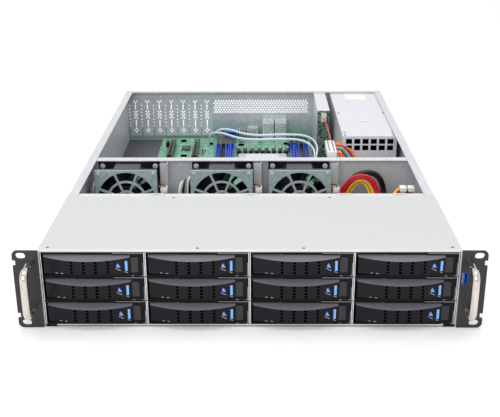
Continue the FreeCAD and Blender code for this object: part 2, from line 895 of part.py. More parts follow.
def blade():
    """One twisted blade, from a steep root in the hub to a flatter tip, in flat facets."""
    root = hub_radius - blade_root_sink
    reach = fan_bore - root
    stations = []
    for k in range(blade_stations + 1):
        part = k / blade_stations
        pitch = blade_root_pitch + (blade_tip_pitch - blade_root_pitch) * part
        stations.append(blade_section(root + reach * part, pitch))
    faces = []
    for low, high in zip(stations, stations[1:]):
        for k in range(4):
            a, b, c, d = low[k], low[(k + 1) % 4], high[(k + 1) % 4], high[k]
            faces.append(Part.Face(Part.makePolygon([a, b, c, a])))
            faces.append(Part.Face(Part.makePolygon([a, c, d, a])))
    for ring in (stations[0], stations[-1]):
        faces.append(Part.Face(Part.makePolygon(ring + ring[:1])))
    return Part.Solid(Part.Shell(faces))


def hub_length():
    return fan_depth - hub_front_gap - motor_plate - hub_gap


def impeller(x):
    """Fan rotor: hub with twisted blades, its tips trimmed to run inside the bore."""
    axis = vec(0, 1, 0)
    start = fan_front + hub_front_gap
    length = (0, hub_length())
    hub = many_sided(0, 0, hub_radius, hub_sides, length)
    blades = []
    for k in range(blade_count):
        one = blade()
        one.rotate(vec(0, 0, 0), axis, 360.0 / blade_count * k)
        blades.append(one)
    envelope = many_sided(0, 0, fan_bore - blade_tip_gap, tip_sides, length)
    rotor = join([hub] + blades).common(envelope)
    return moved(rotor, x, start, fan_centre_z)


def wall_bracket(x):
    """Folded bracket beside a fan, tapered towards its foot."""
    high = wall_top - wall_sheet - bracket_gap
    low = high - bracket_height
    taper = bracket_width / 2
    right = x + bracket_width
    points = [(x, high), (right, high), (right, low), (x + taper, low - bracket_width), (x, low)]
    face = prism(front, points, fan_back - bracket_depth, fan_back - bracket_depth + wall_sheet)
    web = box((right - wall_sheet, right), (fan_back - bracket_depth, fan_back), (low, high))
    return join([face, web])


def fan_wall():
    """Sheet wall behind the fans, with a top flange, a foot, a window behind each fan and cable gates."""
    x = (-inner_half, inner_half)
    plate = box(x, (fan_back, wall_back), (floor_z, wall_top))
    flange = box(x, (fan_back - wall_flange_front, wall_back + wall_flange_back),
                 (under_top - wall_sheet, under_top))
    foot = box(x, (fan_back, fan_back + wall_foot), (floor_z, floor_z + wall_sheet))
    top_room = box((-inner_half, inner_half), (fan_back, wall_back), (under_top, top_z))
    windows = [top_room]
    window_z = about(fan_centre_z, wall_window)
    for centre in fan_centres:
        windows.append(box(about(centre, wall_window), (fan_back, wall_back), window_z))
    gate_low = floor_z + cable_gate_rise
    for x_gate in cable_gate_centres:
        windows.append(box(about(x_gate, cable_gate_width), (fan_back, wall_back),
                           (gate_low, gate_low + cable_gate_height)))
    brackets = [wall_bracket(centre + fan_size / 2 + bracket_gap) for centre in fan_centres]
    return join([plate.cut(windows), flange, foot] + brackets)


# Motherboard

def motherboard():
    """Board with a notched front corner."""
    right = board_left + board_width
    notch_x = right - board_notch
    notch_y = board_front + board_notch
    points = [(board_left, board_front), (notch_x, board_front), (notch_x, notch_y), (right, notch_y),
              (right, board_back), (board_left, board_back)]
    board = prism(plan, points, board_bottom, board_top)
    chip = box(about(chip_x, chip_width), about(chip_y, chip_length), (board_top, board_top + chip_height))
    return [board, chip]


def grooved_socket(x, y, width, height, groove, groove_depth):
    """Long connector with a groove along its top."""
    points = [(x - width / 2, board_top), (x + width / 2, board_top), (x + width / 2, board_top + height),
              (x + groove / 2, board_top + height), (x + groove / 2, board_top + height - groove_depth),
              (x - groove / 2, board_top + height - groove_depth), (x - groove / 2, board_top + height),
              (x - width / 2, board_top + height)]
    return prism(front, points, y[0], y[1])


def dimm_latch(x, y, lean):
    """Latch at the end of a memory socket, leaning outwards."""
    high = board_top + latch_rise
    points = [(y, board_top), (y + lean * latch_length, board_top), (y + lean * latch_length * 1.3, high),
              (y + lean * latch_length * 0.6, high), (y, board_top + dimm_height)]
    return prism(side, points, x - dimm_width / 2, x + dimm_width / 2)


def board_sockets():
    """Memory sockets with their latches, expansion slots and headers."""
    solids = []
    for x in dimm_centres:
        y = (dimm_back - dimm_length, dimm_back)
        solids.append(grooved_socket(x, y, dimm_width, dimm_height, dimm_groove, dimm_groove_depth))
        solids.append(dimm_latch(x, y[0], -1))
        solids.append(dimm_latch(x, y[1], 1))
    for x in pcie_centres:
        y = (pcie_front, pcie_front + pcie_length)
        solids.append(grooved_socket(x, y, pcie_width, pcie_height, pcie_groove, pcie_groove_depth))
    for x in header_centres:
        header_y = (header_front, header_front + header_length)
        solids.append(box(about(x, header_width), header_y, (board_top, board_top + header_height)))
    return solids


def cpu_socket():
    """Socket frame with its window, and the pick-and-place cover in it."""
    frame = box(about(socket_x, socket_width), about(socket_y, socket_length),
                (board_top, board_top + socket_plate))
    window = box(about(socket_x, socket_window_width), about(socket_y, socket_window_length),
                 (board_top, board_top + socket_plate))
    cover = box(about(socket_x, socket_window_width), about(socket_y, socket_window_length),
                (board_top, board_top + socket_cover_height))
    return [frame.cut(window), cover]


def finned_sink(x, y, width, length, fins):
    """Heatsink: a base with upright fins."""
    parts = [box(about(x, width), about(y, length), (board_top, board_top + sink_base))]
    pitch = (width - sink_fin) / (fins - 1)
    for k in range(fins):
        fin_x = x - width / 2 + pitch * k
        parts.append(box((fin_x, fin_x + sink_fin), about(y, length), (board_top, board_top + sink_height)))
    return join(parts)


def heatsinks():
    return [finned_sink(sink_x, sink_y, sink_width, sink_length, sink_fin_count),
            finned_sink(second_sink_x, second_sink_y, second_sink_width, second_sink_length, sink_fin_count)]


# Ports

def usb_cavity(x, low, face):
    """Mouth of a USB port, and the tongue in it."""
    mouth = box(about(x, usb_width), (face - usb_depth, face), (low, low + usb_height))
    tongue = box(about(x, usb_width - 2), (face - usb_depth, face - 1), (low + 0.6, low + 0.6 + usb_tongue))
    return mouth.cut(tongue)


def jack_stack(x):
    """Network jack above two USB ports, in one shell."""
    face = body_depth + port_proud
    shell = box(about(x, stack_width), (face - stack_depth, face), (board_top, board_top + stack_height))
    jack_low = board_top + jack_rise
    jack = box(about(x, jack_width), (face - jack_depth, face), (jack_low, jack_low + jack_height))
    cavities = [usb_cavity(x, board_top + rise, face) for rise in usb_rises]
    return shell.cut([jack] + cavities)


def usb_tower(x):
    """Two USB ports, one above the other, in one shell."""
    face = body_depth + port_proud
    z = (board_top, board_top + usb_tower_height)
    shell = box(about(x, usb_tower_width), (face - usb_depth - 3, face), z)
    return shell.cut([usb_cavity(x, board_top + rise, face) for rise in usb_rises])


def video_port():
    """Video connector: a body on the board and a trapezoid face."""
    face = body_depth + port_proud
    z = (board_top, board_top + vga_height)
    body = box(about(vga_x, vga_body_width), (face - vga_depth, face - 3), z)
    flange = box(about(vga_x, vga_width), (face - 3, face), z)
    half = vga_body_width / 2 - 1
    nose = [(vga_x - half + 1.5, z[0] + 2), (vga_x + half - 1.5, z[0] + 2), (vga_x + half, z[1] - 2),
            (vga_x - half, z[1] - 2)]
    return join([body, flange, prism(front, nose, face, face + 5)])


def front_usb():
    """Upright USB port in the right ear: a metal shell and its tongue."""
    x = usb_opening_x()
    z = about(usb_z, usb_opening_height)
    wall = 0.3
    shell = box(x, (-ear_thickness, pod_depth - 2), z)
    mouth = box((x[0] + wall, x[1] - wall), (-ear_thickness, pod_depth - 4), (z[0] + wall, z[1] - wall))
    tongue = box((x[0] + 1.0, x[0] + 1.0 + usb_tongue), (-ear_thickness + 1, pod_depth - 3),
                 (z[0] + 1.2, z[1] - 1.2))
    return join([shell.cut(mouth), tongue])


def ports():
    return [video_port(), usb_tower(usb_tower_x), front_usb()] + [jack_stack(x) for x in stack_centres]


# Power supply

def psu_cage():
    """Power supply cage: a sheet box with a shelf between the two modules and a vented front."""
    outer = box((psu_left, psu_right), (psu_front, body_depth), (floor_z, psu_top))
    inner_x = (psu_left + psu_sheet, psu_right - psu_sheet)
    clear_height = module_height + 2 * module_gap
    hollows = []
    for k in range(2):
        low = floor_z + psu_sheet + k * (clear_height + psu_sheet)
        hollows.append(box(inner_x, (psu_front + psu_sheet, body_depth), (low, low + clear_height)))
    first = psu_left + (psu_width - psu_vent_pitch_x * (psu_vent_columns - 1)) / 2
    for column in range(psu_vent_columns):
        for row in range(psu_vent_rows):
            x = about(first + psu_vent_pitch_x * column, psu_vent_width)
            high = psu_top - psu_vent_top - psu_vent_pitch_z * row
            hollows.append(box(x, (psu_front, psu_front + psu_sheet), (high - psu_vent_height, high)))
    return outer.cut(hollows)


def module_low(index):
    """Bottom of a module; 0 is the lower one."""
    clear_height = module_height + 2 * module_gap
    return floor_z + psu_sheet + index * (clear_height + psu_sheet) + module_gap


def psu_module(index):
    """Power supply module: closed case, inlet recess and a pull handle."""
    low = module_low(index)
    middle = low + module_height / 2
    x = (psu_left + psu_sheet + module_gap, psu_right - psu_sheet - module_gap)
    case = box(x, (module_front, body_depth), (low, low + module_height))
    inlet_x = (x[1] - inlet_inset - inlet_width, x[1] - inlet_inset)
    inlet = box(inlet_x, (body_depth - inlet_depth, body_depth), about(middle, inlet_height))
    pull_x = (x[0] + pull_inset, x[0] + pull_inset + pull_width)
    bow = [(body_depth, middle - pull_height / 2), (body_depth + pull_reach, middle - pull_height / 2, 6),
           (body_depth + pull_reach, middle + pull_height / 2, 6), (body_depth, middle + pull_height / 2)]
    inner = [(body_depth, middle - pull_height / 2 + pull_thickness),
             (body_depth + pull_reach - pull_thickness, middle - pull_height / 2 + pull_thickness, 3),
             (body_depth + pull_reach - pull_thickness, middle + pull_height / 2 - pull_thickness, 3),
             (body_depth, middle + pull_height / 2 - pull_thickness)]
    pull = prism(side, bow, pull_x[0], pull_x[1]).cut(prism(side, inner, pull_x[0], pull_x[1]))
    return join([case.cut([inlet]), pull])


# Rear bay

def bay_top():
    return top_z - bay_top_gap


def rear_bay():
    """Small drive bay beside the power supply: sheet housing, its board and the board's plug."""
    x = (bay_left, bay_left + bay_width)
    z = (floor_z, bay_top())
    shell_front = bay_front + bay_board_thickness
    housing = box(x, (shell_front, panel_front), z)
    hollow = box((x[0] + bay_sheet, x[1] - bay_sheet), (shell_front, panel_front),
                 (z[0] + bay_sheet, z[1] - bay_sheet))
    blank = box((x[0] + bay_sheet, x[1] - bay_sheet), (panel_front, body_depth),
                (z[0] + bay_sheet, z[1] - bay_sheet))
    board = box(x, (bay_front, shell_front), (z[0] + bay_board_drop, z[1] - bay_sheet))
    plug_high = z[1] - 4
    plug = box(about((x[0] + x[1]) / 2, bay_plug_width), (bay_front - bay_plug_depth, bay_front),
               (plug_high - bay_plug_height, plug_high))
    return [housing.cut(hollow), blank, board, plug]


# Fasteners

def fasteners():
    """Studs on the side walls that the slide rails hook on."""
    right = [rod(vec(half_width, y, z), vec(1, 0, 0), stud_radius, stud_length) for y, z in stud_positions]
    return right + [mirror_x(shape) for shape in right]


# Cables

def cable_path(points):
    """Straight runs joined by tangent arcs, each arc as large as its two runs allow."""
    places = [vec(*point) for point in points]
    edges = []
    start = places[0]
    bends = []
    for before, corner, after in zip(places, places[1:], places[2:]):
        turn = (corner - before).getAngle(after - corner)
        bend = 0.45 * min((corner - before).Length, (after - corner).Length) / math.tan(turn / 2)
        bends.append(round(bend, 1))
        first, middle, last = corner_edges(before, corner, after, bend)
        edges.append(Part.LineSegment(start, first).toShape())
        edges.append(Part.Arc(first, middle, last).toShape())
        start = last
    edges.append(Part.LineSegment(start, places[-1]).toShape())
    return Part.Wire(edges), bends


def cable(points, radius, sides):
    """A cable or bundle along a route, with a plain many-sided section."""
    path, bends = cable_path(points)
    start = vec(*points[0])
    along = (vec(*points[1]) - start).normalize()
    across = along.cross(vec(0.3, 0.2, 1)).normalize()
    upright = along.cross(across)
    angles = [2 * math.pi * k / sides for k in range(sides)]
    corners = [start + across * (radius * math.cos(a)) + upright * (radius * math.sin(a)) for a in angles]
    section = Part.makePolygon(corners + corners[:1])
    solid = Part.Solid(path.makePipeShell([section], True, False))
    fill = solid.Volume / (Part.Face(section).Area * path.Length)
    print("cable bends", bends, "volume over section times length", round(fill, 3))
    return solid


def fitted(route):
    """A route moved with the body that it runs through."""
    return [(x * across, y * along, z * upright) for x, y, z in route]


def cable_harness():
    """Fan and drive feed, main power loom with its plug, and two data cables."""
    feed = fitted(feed_route)
    feed[-1] = (feed[-1][0], backplane_back + backplane_plug_depth, feed[-1][2])
    loom = fitted(loom_route)
    data = []
    for route in sata_routes:
        places = fitted(route)
        for k in (0, -1):
            places[k] = (places[k][0], places[k][1], board_top)
        data.append(cable(places, sata_radius, 4))
    loom_start = loom[0]
    plug_x = (loom_start[0] - plug_width, loom_start[0])
    plug_y = (loom_start[1] - plug_start, loom_start[1] - plug_start + plug_length)
    plug = box(plug_x, plug_y, about(loom_start[2], plug_height))
    return [cable(feed, feed_radius, 4), cable(loom, loom_radius, 4), plug] + data


def build():
    os.makedirs("parts", exist_ok=True)
    ear = rack_ear()
    handle = ear_handle()
    save("chassis_tray", [chassis_tray()])
    save("front_cover", [front_cover()])
    save("rear_panel", [rear_panel_plate(), io_shield()])
    save("slot_covers", slot_covers())
    save("rack_ears", [mirror_x(ear), usb_ear()])
    save("ear_handles", [mirror_x(handle), handle])
    save("drive_cage", [drive_cage()])
    save("backplane", backplane())
    for column in range(column_count):
        for row in range(row_count):
            left = column_left(column)
            middle = row_middle(row)
            name = "_c" + str(column + 1) + "_r" + str(row + 1)
            save("carrier" + name, [bezel(left, middle), carrier_tray(left, middle), drive(left, middle)])
            save("lever" + name, [lever(left, middle)])
            save("release" + name, [release(left, middle)])
    housings = []
    for number, x in enumerate(fan_centres, 1):
        housings += [fan_housing(x), fan_guard(x)]
        save("impeller_" + str(number), [impeller(x)])
    save("fan_housings", housings)
    save("fan_wall", [fan_wall()])
    save("motherboard", motherboard())
    save("board_sockets", board_sockets())
    save("cpu_socket", cpu_socket())
    save("heatsinks", heatsinks())
    save("ports", ports())
    save("psu_cage", [psu_cage()])
    save("psu_module_lower", [psu_module(0)])
    save("psu_module_upper", [psu_module(1)])
    save("rear_bay", rear_bay())
    save("fasteners", fasteners())
    save("cable_harness", cable_harness())


build()
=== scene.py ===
"""Looks of the 2U rack server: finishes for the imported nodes, and the small pieces fitted to them.

Lengths in the calls below are millimetres in the part's own frame; MM turns them to metres.
"""
import math

import bpy
from mathutils import Matrix, Vector


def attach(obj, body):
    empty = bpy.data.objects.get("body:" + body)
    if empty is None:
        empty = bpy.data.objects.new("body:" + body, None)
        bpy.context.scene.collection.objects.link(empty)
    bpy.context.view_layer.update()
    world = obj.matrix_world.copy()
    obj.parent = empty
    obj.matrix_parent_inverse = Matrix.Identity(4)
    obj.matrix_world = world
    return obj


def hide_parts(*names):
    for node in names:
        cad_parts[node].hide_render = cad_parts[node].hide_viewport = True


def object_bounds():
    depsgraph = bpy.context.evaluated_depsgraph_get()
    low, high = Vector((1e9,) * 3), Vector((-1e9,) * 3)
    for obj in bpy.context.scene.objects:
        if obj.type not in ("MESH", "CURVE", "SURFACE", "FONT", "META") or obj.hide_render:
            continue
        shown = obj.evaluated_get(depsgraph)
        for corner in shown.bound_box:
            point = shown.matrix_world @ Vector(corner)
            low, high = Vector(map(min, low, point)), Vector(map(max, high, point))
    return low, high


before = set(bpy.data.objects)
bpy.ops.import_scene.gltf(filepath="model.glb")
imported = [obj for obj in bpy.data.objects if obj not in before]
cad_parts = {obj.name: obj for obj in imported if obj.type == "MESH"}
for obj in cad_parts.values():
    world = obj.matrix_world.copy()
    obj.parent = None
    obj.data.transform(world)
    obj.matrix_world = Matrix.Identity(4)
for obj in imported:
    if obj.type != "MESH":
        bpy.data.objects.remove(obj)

MM = 0.001
cad_low, cad_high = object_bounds()

# Places and sizes in the part that the pieces and finishes are set out by
COLUMN_PITCH = 106.65
ROW_PITCH = 27.5
FIRST_BEZEL = -213.0
BEZEL_WIDTH = 106.05
BEZEL_HALF = 13.45
BEZEL_DEPTH = 12.0
LATCH_END = 90.4
RIB_PITCH = 2.2
FAN_CENTRES = (-161.3, -38.4, 62.0)
FAN_Z = 0.5
FLOOR_TOP = -42.8
BACKPLANE_BACK = 165.5
BOARD_TOP = -37.0
SOCKET_RISE = 8.2
FRAME_RISE = 4.2
BAY_BOARD = (530.0, 531.6)
MIRROR_SPAN = (4.0, -30.0)
PANEL_FRONT = 653.8
COVER_TOP = 44.0
COVER_SCREW_RADIUS = 1.6
COVER_SCREWS = ((-206, 6), (-53, 4), (55, 4), (206, 6), (-90, 148), (92, 148))


# Modelling helpers

def clear():
    """Nothing stays selected: an operator acts on all that is."""
    bpy.ops.object.select_all(action="DESELECT")


def only(piece):
    """One piece is selected and active."""
    clear()
    piece.select_set(True)
    bpy.context.view_layer.objects.active = piece


def settle(piece, name):
    """Puts the place, turn and size of a piece into its mesh."""
    only(piece)
    bpy.ops.object.transform_apply(location=True, rotation=True, scale=True)
    piece.name = name
    piece.data.name = name
    return piece


def apply(piece, kind, **settings):
    """One modifier, set and applied."""
    only(piece)
    modifier = piece.modifiers.new(kind.title(), kind)
    for key, value in settings.items():
        setattr(modifier, key, value)
    bpy.ops.object.modifier_apply(modifier=modifier.name)
    return piece


def soften(piece, edge, steps=2):
    """Small round on the sharp edges, as moulding and pressing leave it."""
    apply(piece, "BEVEL", width=edge * MM, segments=steps, limit_method="ANGLE", angle_limit=math.radians(40))
    bpy.ops.object.shade_smooth_by_angle(angle=math.radians(35))
    return piece


def block(name, x, y, z, edge=0.0):
    """A cube drawn out to three (low, high) pairs, its edges rounded."""
    clear()
    middle = [(a + b) / 2 * MM for a, b in (x, y, z)]
    bpy.ops.mesh.primitive_cube_add(size=1, location=middle)
    piece = bpy.context.object
    piece.scale = [(b - a) * MM for a, b in (x, y, z)]
    settle(piece, name)
    return soften(piece, edge) if edge else piece


def peg(name, centre, axis, radius, span, sides=32, edge=0.0):
    """A round or many-sided bar along X, Y or Z; centre gives its other two places."""
    clear()
    middle = (span[0] + span[1]) / 2
    places = {"X": (middle, *centre), "Y": (centre[0], middle, centre[1]), "Z": (*centre, middle)}
    turns = {"X": (0, math.pi / 2, 0), "Y": (math.pi / 2, 0, 0), "Z": (0, 0, 0)}
    place = [v * MM for v in places[axis]]
    bpy.ops.mesh.primitive_cylinder_add(vertices=sides, radius=radius * MM, depth=(span[1] - span[0]) * MM,
                                        location=place, rotation=turns[axis])
    piece = settle(bpy.context.object, name)
    if edge:
        return soften(piece, edge)
    bpy.ops.object.shade_smooth_by_angle(angle=math.radians(35))
    return piece


def cut(piece, tool):
    """Takes one closed piece out of another."""
    apply(piece, "BOOLEAN", object=tool, operation="DIFFERENCE", solver="EXACT")
    bpy.data.objects.remove(tool)
    return piece


def twin(piece, name, x=0.0, y=0.0, z=0.0):
    """A copy with a mesh of its own, moved along the axes."""
    copy = piece.copy()
    copy.data = piece.data.copy()
    copy.name = name
    copy.data.name = name
    copy.data.transform(Matrix.Translation((x * MM, y * MM, z * MM)))
    bpy.context.scene.collection.objects.link(copy)
    return copy


def turned(piece, name, angle, centre):
    """A copy turned about the Y axis through a centre (x, z)."""
    copy = twin(piece, name)
    middle = Vector((centre[0] * MM, 0, centre[1] * MM))
    turn = Matrix.Translation(middle) @ Matrix.Rotation(angle, 4, "Y") @ Matrix.Translation(-middle)
    copy.data.transform(turn)
    return copy


def merge(pieces, name):
    """Several meshes as one piece."""
    clear()
    for piece in pieces:
        piece.select_set(True)
    bpy.context.view_layer.objects.active = pieces[0]
    bpy.ops.object.join()
    pieces[0].name = name
    pieces[0].data.name = name
    return pieces[0]


def repeat(piece, count, x=0.0, y=0.0, z=0.0):
    """A row of the same shape."""
    apply(piece, "ARRAY", count=count, use_relative_offset=False, use_constant_offset=True,
          constant_offset_displace=(x * MM, y * MM, z * MM))
    return piece


def fit(piece, finish, body="chassis"):
    """The finish, and the body that carries the piece."""
    piece.data.materials.clear()
    piece.data.materials.append(finish)
    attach(piece, body)
    return piece


# Material helpers

def colour(code):
    """sRGB hex to the linear values that a shader takes."""
    parts = [int(code[k:k + 2], 16) / 255 for k in (1, 3, 5)]
    return [p / 12.92 if p <= 0.04045 else ((p + 0.055) / 1.055) ** 2.4 for p in parts] + [1.0]


def put(tree, kind, inputs=None, **settings):
    """Adds one node; each input is a value or the socket that feeds it."""
    made = tree.nodes.new(kind)
    for key, value in settings.items():
        setattr(made, key, value)
    for key, value in (inputs or {}).items():
        if isinstance(value, bpy.types.NodeSocket):
            tree.links.new(value, made.inputs[key])
        else:
            made.inputs[key].default_value = value
    return made


def ramp(tree, value, stops, hard=False):
    """Colours along a value from 0 to 1."""
    made = put(tree, "ShaderNodeValToRGB", {"Fac": value})
    made.color_ramp.interpolation = "CONSTANT" if hard else "LINEAR"
    while len(made.color_ramp.elements) < len(stops):
        made.color_ramp.elements.new(1.0)
    for element, (place, code) in zip(made.color_ramp.elements, stops):
        element.position = place
        element.color = colour(code)
    return made.outputs["Color"]


def math_of(tree, operation, first, second=0.0):
    """One sum, product or comparison; a comparison gives 1 where it holds."""
    return put(tree, "ShaderNodeMath", {0: first, 1: second}, operation=operation).outputs["Value"]


def span_of(tree, value, low, high, to_low=0.0, to_high=1.0):
    """A value between low and high, brought to another span and held at its ends."""
    inputs = {"Value": value, "From Min": low, "From Max": high, "To Min": to_low, "To Max": to_high}
    return put(tree, "ShaderNodeMapRange", inputs).outputs["Result"]


def mixed(tree, factor, first, second):
    """Mixes two colours by a factor from 0 to 1."""
    return put(tree, "ShaderNodeMix", {0: factor, 6: first, 7: second}, data_type="RGBA").outputs[2]


def surface(name, tones, roughness, metallic=0.0, grain=2.0, relief=0.01, stretch=(1, 1, 1), **sockets):
    """A finish whose tone, gloss and relief follow a grain of a size in millimetres.

    Returns the material with its node tree, shader, coordinates and grain, for finishes that add to it.
    """
    material = bpy.data.materials.new(name)
    material.use_nodes = True
    tree = material.node_tree
    shader = tree.nodes["Principled BSDF"]
    place = put(tree, "ShaderNodeTexCoord").outputs["Object"]
    scaled = put(tree, "ShaderNodeMapping", {"Vector": place, "Scale": stretch}).outputs["Vector"]
    cloud = put(tree, "ShaderNodeTexNoise", {"Vector": scaled, "Scale": 1 / (grain * MM), "Detail": 3.0,
                                             "Roughness": 0.55}).outputs["Fac"]
    tone = ramp(tree, cloud, [(0.3, tones[0]), (0.7, tones[1])])
    tree.links.new(tone, shader.inputs["Base Color"])
    gloss = span_of(tree, cloud, 0.25, 0.75, roughness * 0.85, roughness * 1.15)
    tree.links.new(gloss, shader.inputs["Roughness"])
    height = put(tree, "ShaderNodeBump", {"Height": cloud, "Distance": relief * MM, "Strength": 0.5})
    tree.links.new(height.outputs["Normal"], shader.inputs["Normal"])
    shader.inputs["Metallic"].default_value = metallic
    for key, value in sockets.items():
        shader.inputs[key.replace("_", " ")].default_value = value
    return material, tree, shader, place, cloud


def axis_of(tree, place, axis):
    """One coordinate of a place, in millimetres."""
    value = put(tree, "ShaderNodeSeparateXYZ", {"Vector": place}).outputs[axis]
    return math_of(tree, "MULTIPLY", value, 1000.0)


def facing_of(tree, axis):
    """How far a face looks along an axis, from -1 to 1."""
    normal = put(tree, "ShaderNodeTexCoord").outputs["Normal"]
    return put(tree, "ShaderNodeSeparateXYZ", {"Vector": normal}).outputs[axis]


def by_place(tree, value, low, high, stops):
    """Hard-edged colours between places in millimetres along one coordinate."""
    part = span_of(tree, value, low, high)
    return ramp(tree, part, [((at - low) / (high - low), code) for at, code in stops], hard=True)


def paint(tree, shader, tone):
    """The tone becomes the shader's colour."""
    tree.links.new(tone, shader.inputs["Base Color"])


# Finishes

def coat(*look, **sockets):
    """A plain finish, with nothing added to its surface."""
    return surface(*look, **sockets)[0]


# Galvanised steel sheet: a soft sheen with faint cloudy spangle.
spangle_steel = coat("galvanised_steel", ("#BABCC4", "#CCCED5"), 0.38, 0.35, 6.0, 0.01)
# Steel rolled and skin-passed: long fine lines along the sheet.
rolled_steel = coat("rolled_steel_sheet", ("#CACACF", "#DADADE"), 0.34, 0.35, 2.0, 0.01, (1, 0.08, 1))
# Nickel-plated strips: bright and slightly wavy.
bright_plate = coat("nickel_plated_steel", ("#D2D2D5", "#E6E6E8"), 0.25, 0.5, 3.0, 0.01)
# Zinc-plated supply cage: even grey with a faint sheen.
cage_zinc = coat("zinc_plated_cage", ("#CECFD6", "#DCDDE3"), 0.35, 0.2, 5.0, 0.01)
# Powder-coated ears: black with a fine texture that keeps a dull sheen.
ear_coat = coat("black_powder_coat", ("#141416", "#1E1E21"), 0.42, 0.0, 0.9, 0.05)
# Polished chrome bar: mirror-like with faint polishing streaks.
chrome = coat("polished_chrome", ("#B9B1A9", "#DDD8D3"), 0.12, 1.0, 1.5, 0.003, (1, 1, 0.1))
# Spark-eroded ABS: black, dull, with a fine pebble.
moulded_black = coat("black_moulded_abs", ("#08080A", "#0F0F12"), 0.34, 0.0, 0.7, 0.03,
                     Specular_IOR_Level=0.3)
# Flat near-black: the board chips' own dull tops, and painted shade in the lever vents and on the sheet at
# the supply's front end.
chip_black_and_painted_shade = coat("dark_recess", ("#010102", "#030304"), 0.8, 0.0, 1.0, 0.01, Specular_IOR_Level=0.0)
# Fan plastic: glass-filled black polyester, with a slight gloss.
fan_plastic = coat("black_glass_filled_plastic", ("#0B0C0E", "#15171A"), 0.3, 0.0, 1.2, 0.02)
# Stamped fan guard: zinc plate with a blue-green cast.
guard_zinc = coat("zinc_plated_guard", ("#A3B5B9", "#BACACD"), 0.3, 0.3, 4.0, 0.01)
# Nylon connectors: milky white, softly glossy.
nylon = coat("white_nylon", ("#E9E8E2", "#F5F4F0"), 0.38, 0.0, 1.0, 0.01)
# Aluminium extrusion: fine drawn lines along the fins.
drawn_aluminium = coat("drawn_aluminium", ("#C2C4C6", "#D5D7D9"), 0.28, 0.9, 1.0, 0.01, (1, 0.1, 1))
# Blue status window: clear tinted plastic.
blue_window = coat("blue_tinted_acrylic", ("#3F6FD6", "#6F9BEE"), 0.2, 0.0, 1.5, 0.01)
# Pale light pipe: frosted clear plastic.
light_pipe = coat("frosted_light_pipe", ("#6E6C72", "#8B8990"), 0.35, 0.0, 0.8, 0.01)
# Moulded edges: thin pale lines of painted highlight where the black plastic's rounded arrises catch the
# light.
edge_light = coat("rounded_abs_arris", ("#8E8B93", "#A9A6AE"), 0.35, 0.0, 1.0, 0.005)
# Screw heads: black oxide on steel, with a dull sheen.
black_oxide = coat("black_oxide_steel", ("#1B1B1C", "#2B2A2B"), 0.35, 0.8, 0.8, 0.02)
# Bare label stock: matt cream paper with faint fibres.
blank_label = coat("bare_label_stock", ("#E2E1DB", "#EAE9E4"), 0.6, 0.0, 0.6, 0.005)
# Pale studio floor.
studio = coat("studio_floor", ("#F7F7F7", "#FBFBFB"), 0.75, 0.0, 200.0, 0.001)


def punched():
    """Punched holes as thin patches: from inside, painted light where the pale room shows through, with a
    faint painted glow; from behind, painted shade where the dark case shows.
    """
    material, tree, shader, _, cloud = surface(
        "punching_painted_light_and_shade", ("#EEF0F2", "#FFFFFF"), 0.9, 0.0, 3.0, 0.001)
    facing = facing_of(tree, "Y")
    behind = math_of(tree, "GREATER_THAN", facing, 0.5)
    pale = ramp(tree, cloud, [(0.3, "#EEF0F2"), (0.7, "#FFFFFF")])
    paint(tree, shader, mixed(tree, behind, pale, colour("#08080A")))
    shader.inputs["Emission Color"].default_value = colour("#FFFFFF")
    tree.links.new(span_of(tree, behind, 0.0, 1.0, 0.4, 0.0), shader.inputs["Emission Strength"])
    return material


daylight = punched()


def insulation(name, dark, light):
    """PVC wire insulation: smooth extruded plastic with a wet-looking gloss."""
    return coat(name, (dark, light), 0.26, 0.0, 3.0, 0.005)


RED = insulation("red_wire_insulation", "#B0101E", "#D92433")
BLACK = insulation("black_wire_insulation", "#08080A", "#131316")
YELLOW = insulation("yellow_wire_insulation", "#E0B91C", "#F3D440")
ORANGE = insulation("orange_wire_insulation", "#DE6B1E", "#F08A3C")
GREEN = insulation("green_wire_insulation", "#2C8F4A", "#43A862")
BLUE = insulation("blue_wire_insulation", "#3E93C9", "#62B2E0")
GREY = insulation("grey_wire_insulation", "#8E8F92", "#A6A7AA")
WHITE = insulation("white_wire_insulation", "#E2E2E0", "#F2F2F0")
PALE_BLUE = insulation("pale_blue_data_cable", "#86ABBF", "#B5D0DC")


def lever_finish():
    """Black ABS, with a grey sheen where the bevelled upper face catches the light."""
    material, tree, shader, _, cloud = surface(
        "black_abs_lever", ("#0C0C0F", "#141418"), 0.3, 0.0, 0.7, 0.03, Specular_IOR_Level=0.16)
    lean = facing_of(tree, "Z")
    upper = span_of(tree, lean, 0.12, 0.3)
    black = ramp(tree, cloud, [(0.3, "#0C0C0F"), (0.7, "#141418")])
    sheen = ramp(tree, cloud, [(0.3, "#68646D"), (0.7, "#78747D")])
    paint(tree, shader, mixed(tree, upper, black, sheen))
    return material


def release_finish():
    """Two-shot moulding: a blue latch bar and a dark ribbed thumb pad."""
    material, tree, shader, place, cloud = surface(
        "two_shot_release", ("#201F23", "#2B2A2F"), 0.42, 0.0, 0.7, 0.03)
    across = math_of(tree, "ADD", axis_of(tree, place, "X"), -FIRST_BEZEL)
    inside = math_of(tree, "MODULO", across, COLUMN_PITCH)
    latch = math_of(tree, "LESS_THAN", inside, LATCH_END)
    dark = ramp(tree, cloud, [(0.3, "#121115"), (0.7, "#1B1A1F")])
    bright = ramp(tree, cloud, [(0.3, "#5F95DC"), (0.7, "#83B2EC")])
    paint(tree, shader, mixed(tree, latch, dark, bright))
    ribs = put(tree, "ShaderNodeTexWave",
               {"Vector": place, "Scale": math.tau / (20 * RIB_PITCH * MM), "Distortion": 0.0},
               bands_direction="Z", wave_type="BANDS").outputs["Fac"]
    height = put(tree, "ShaderNodeBump", {"Height": ribs, "Distance": 0.3 * MM, "Strength": 0.8})
    tree.links.new(height.outputs["Normal"], shader.inputs["Normal"])
    return material


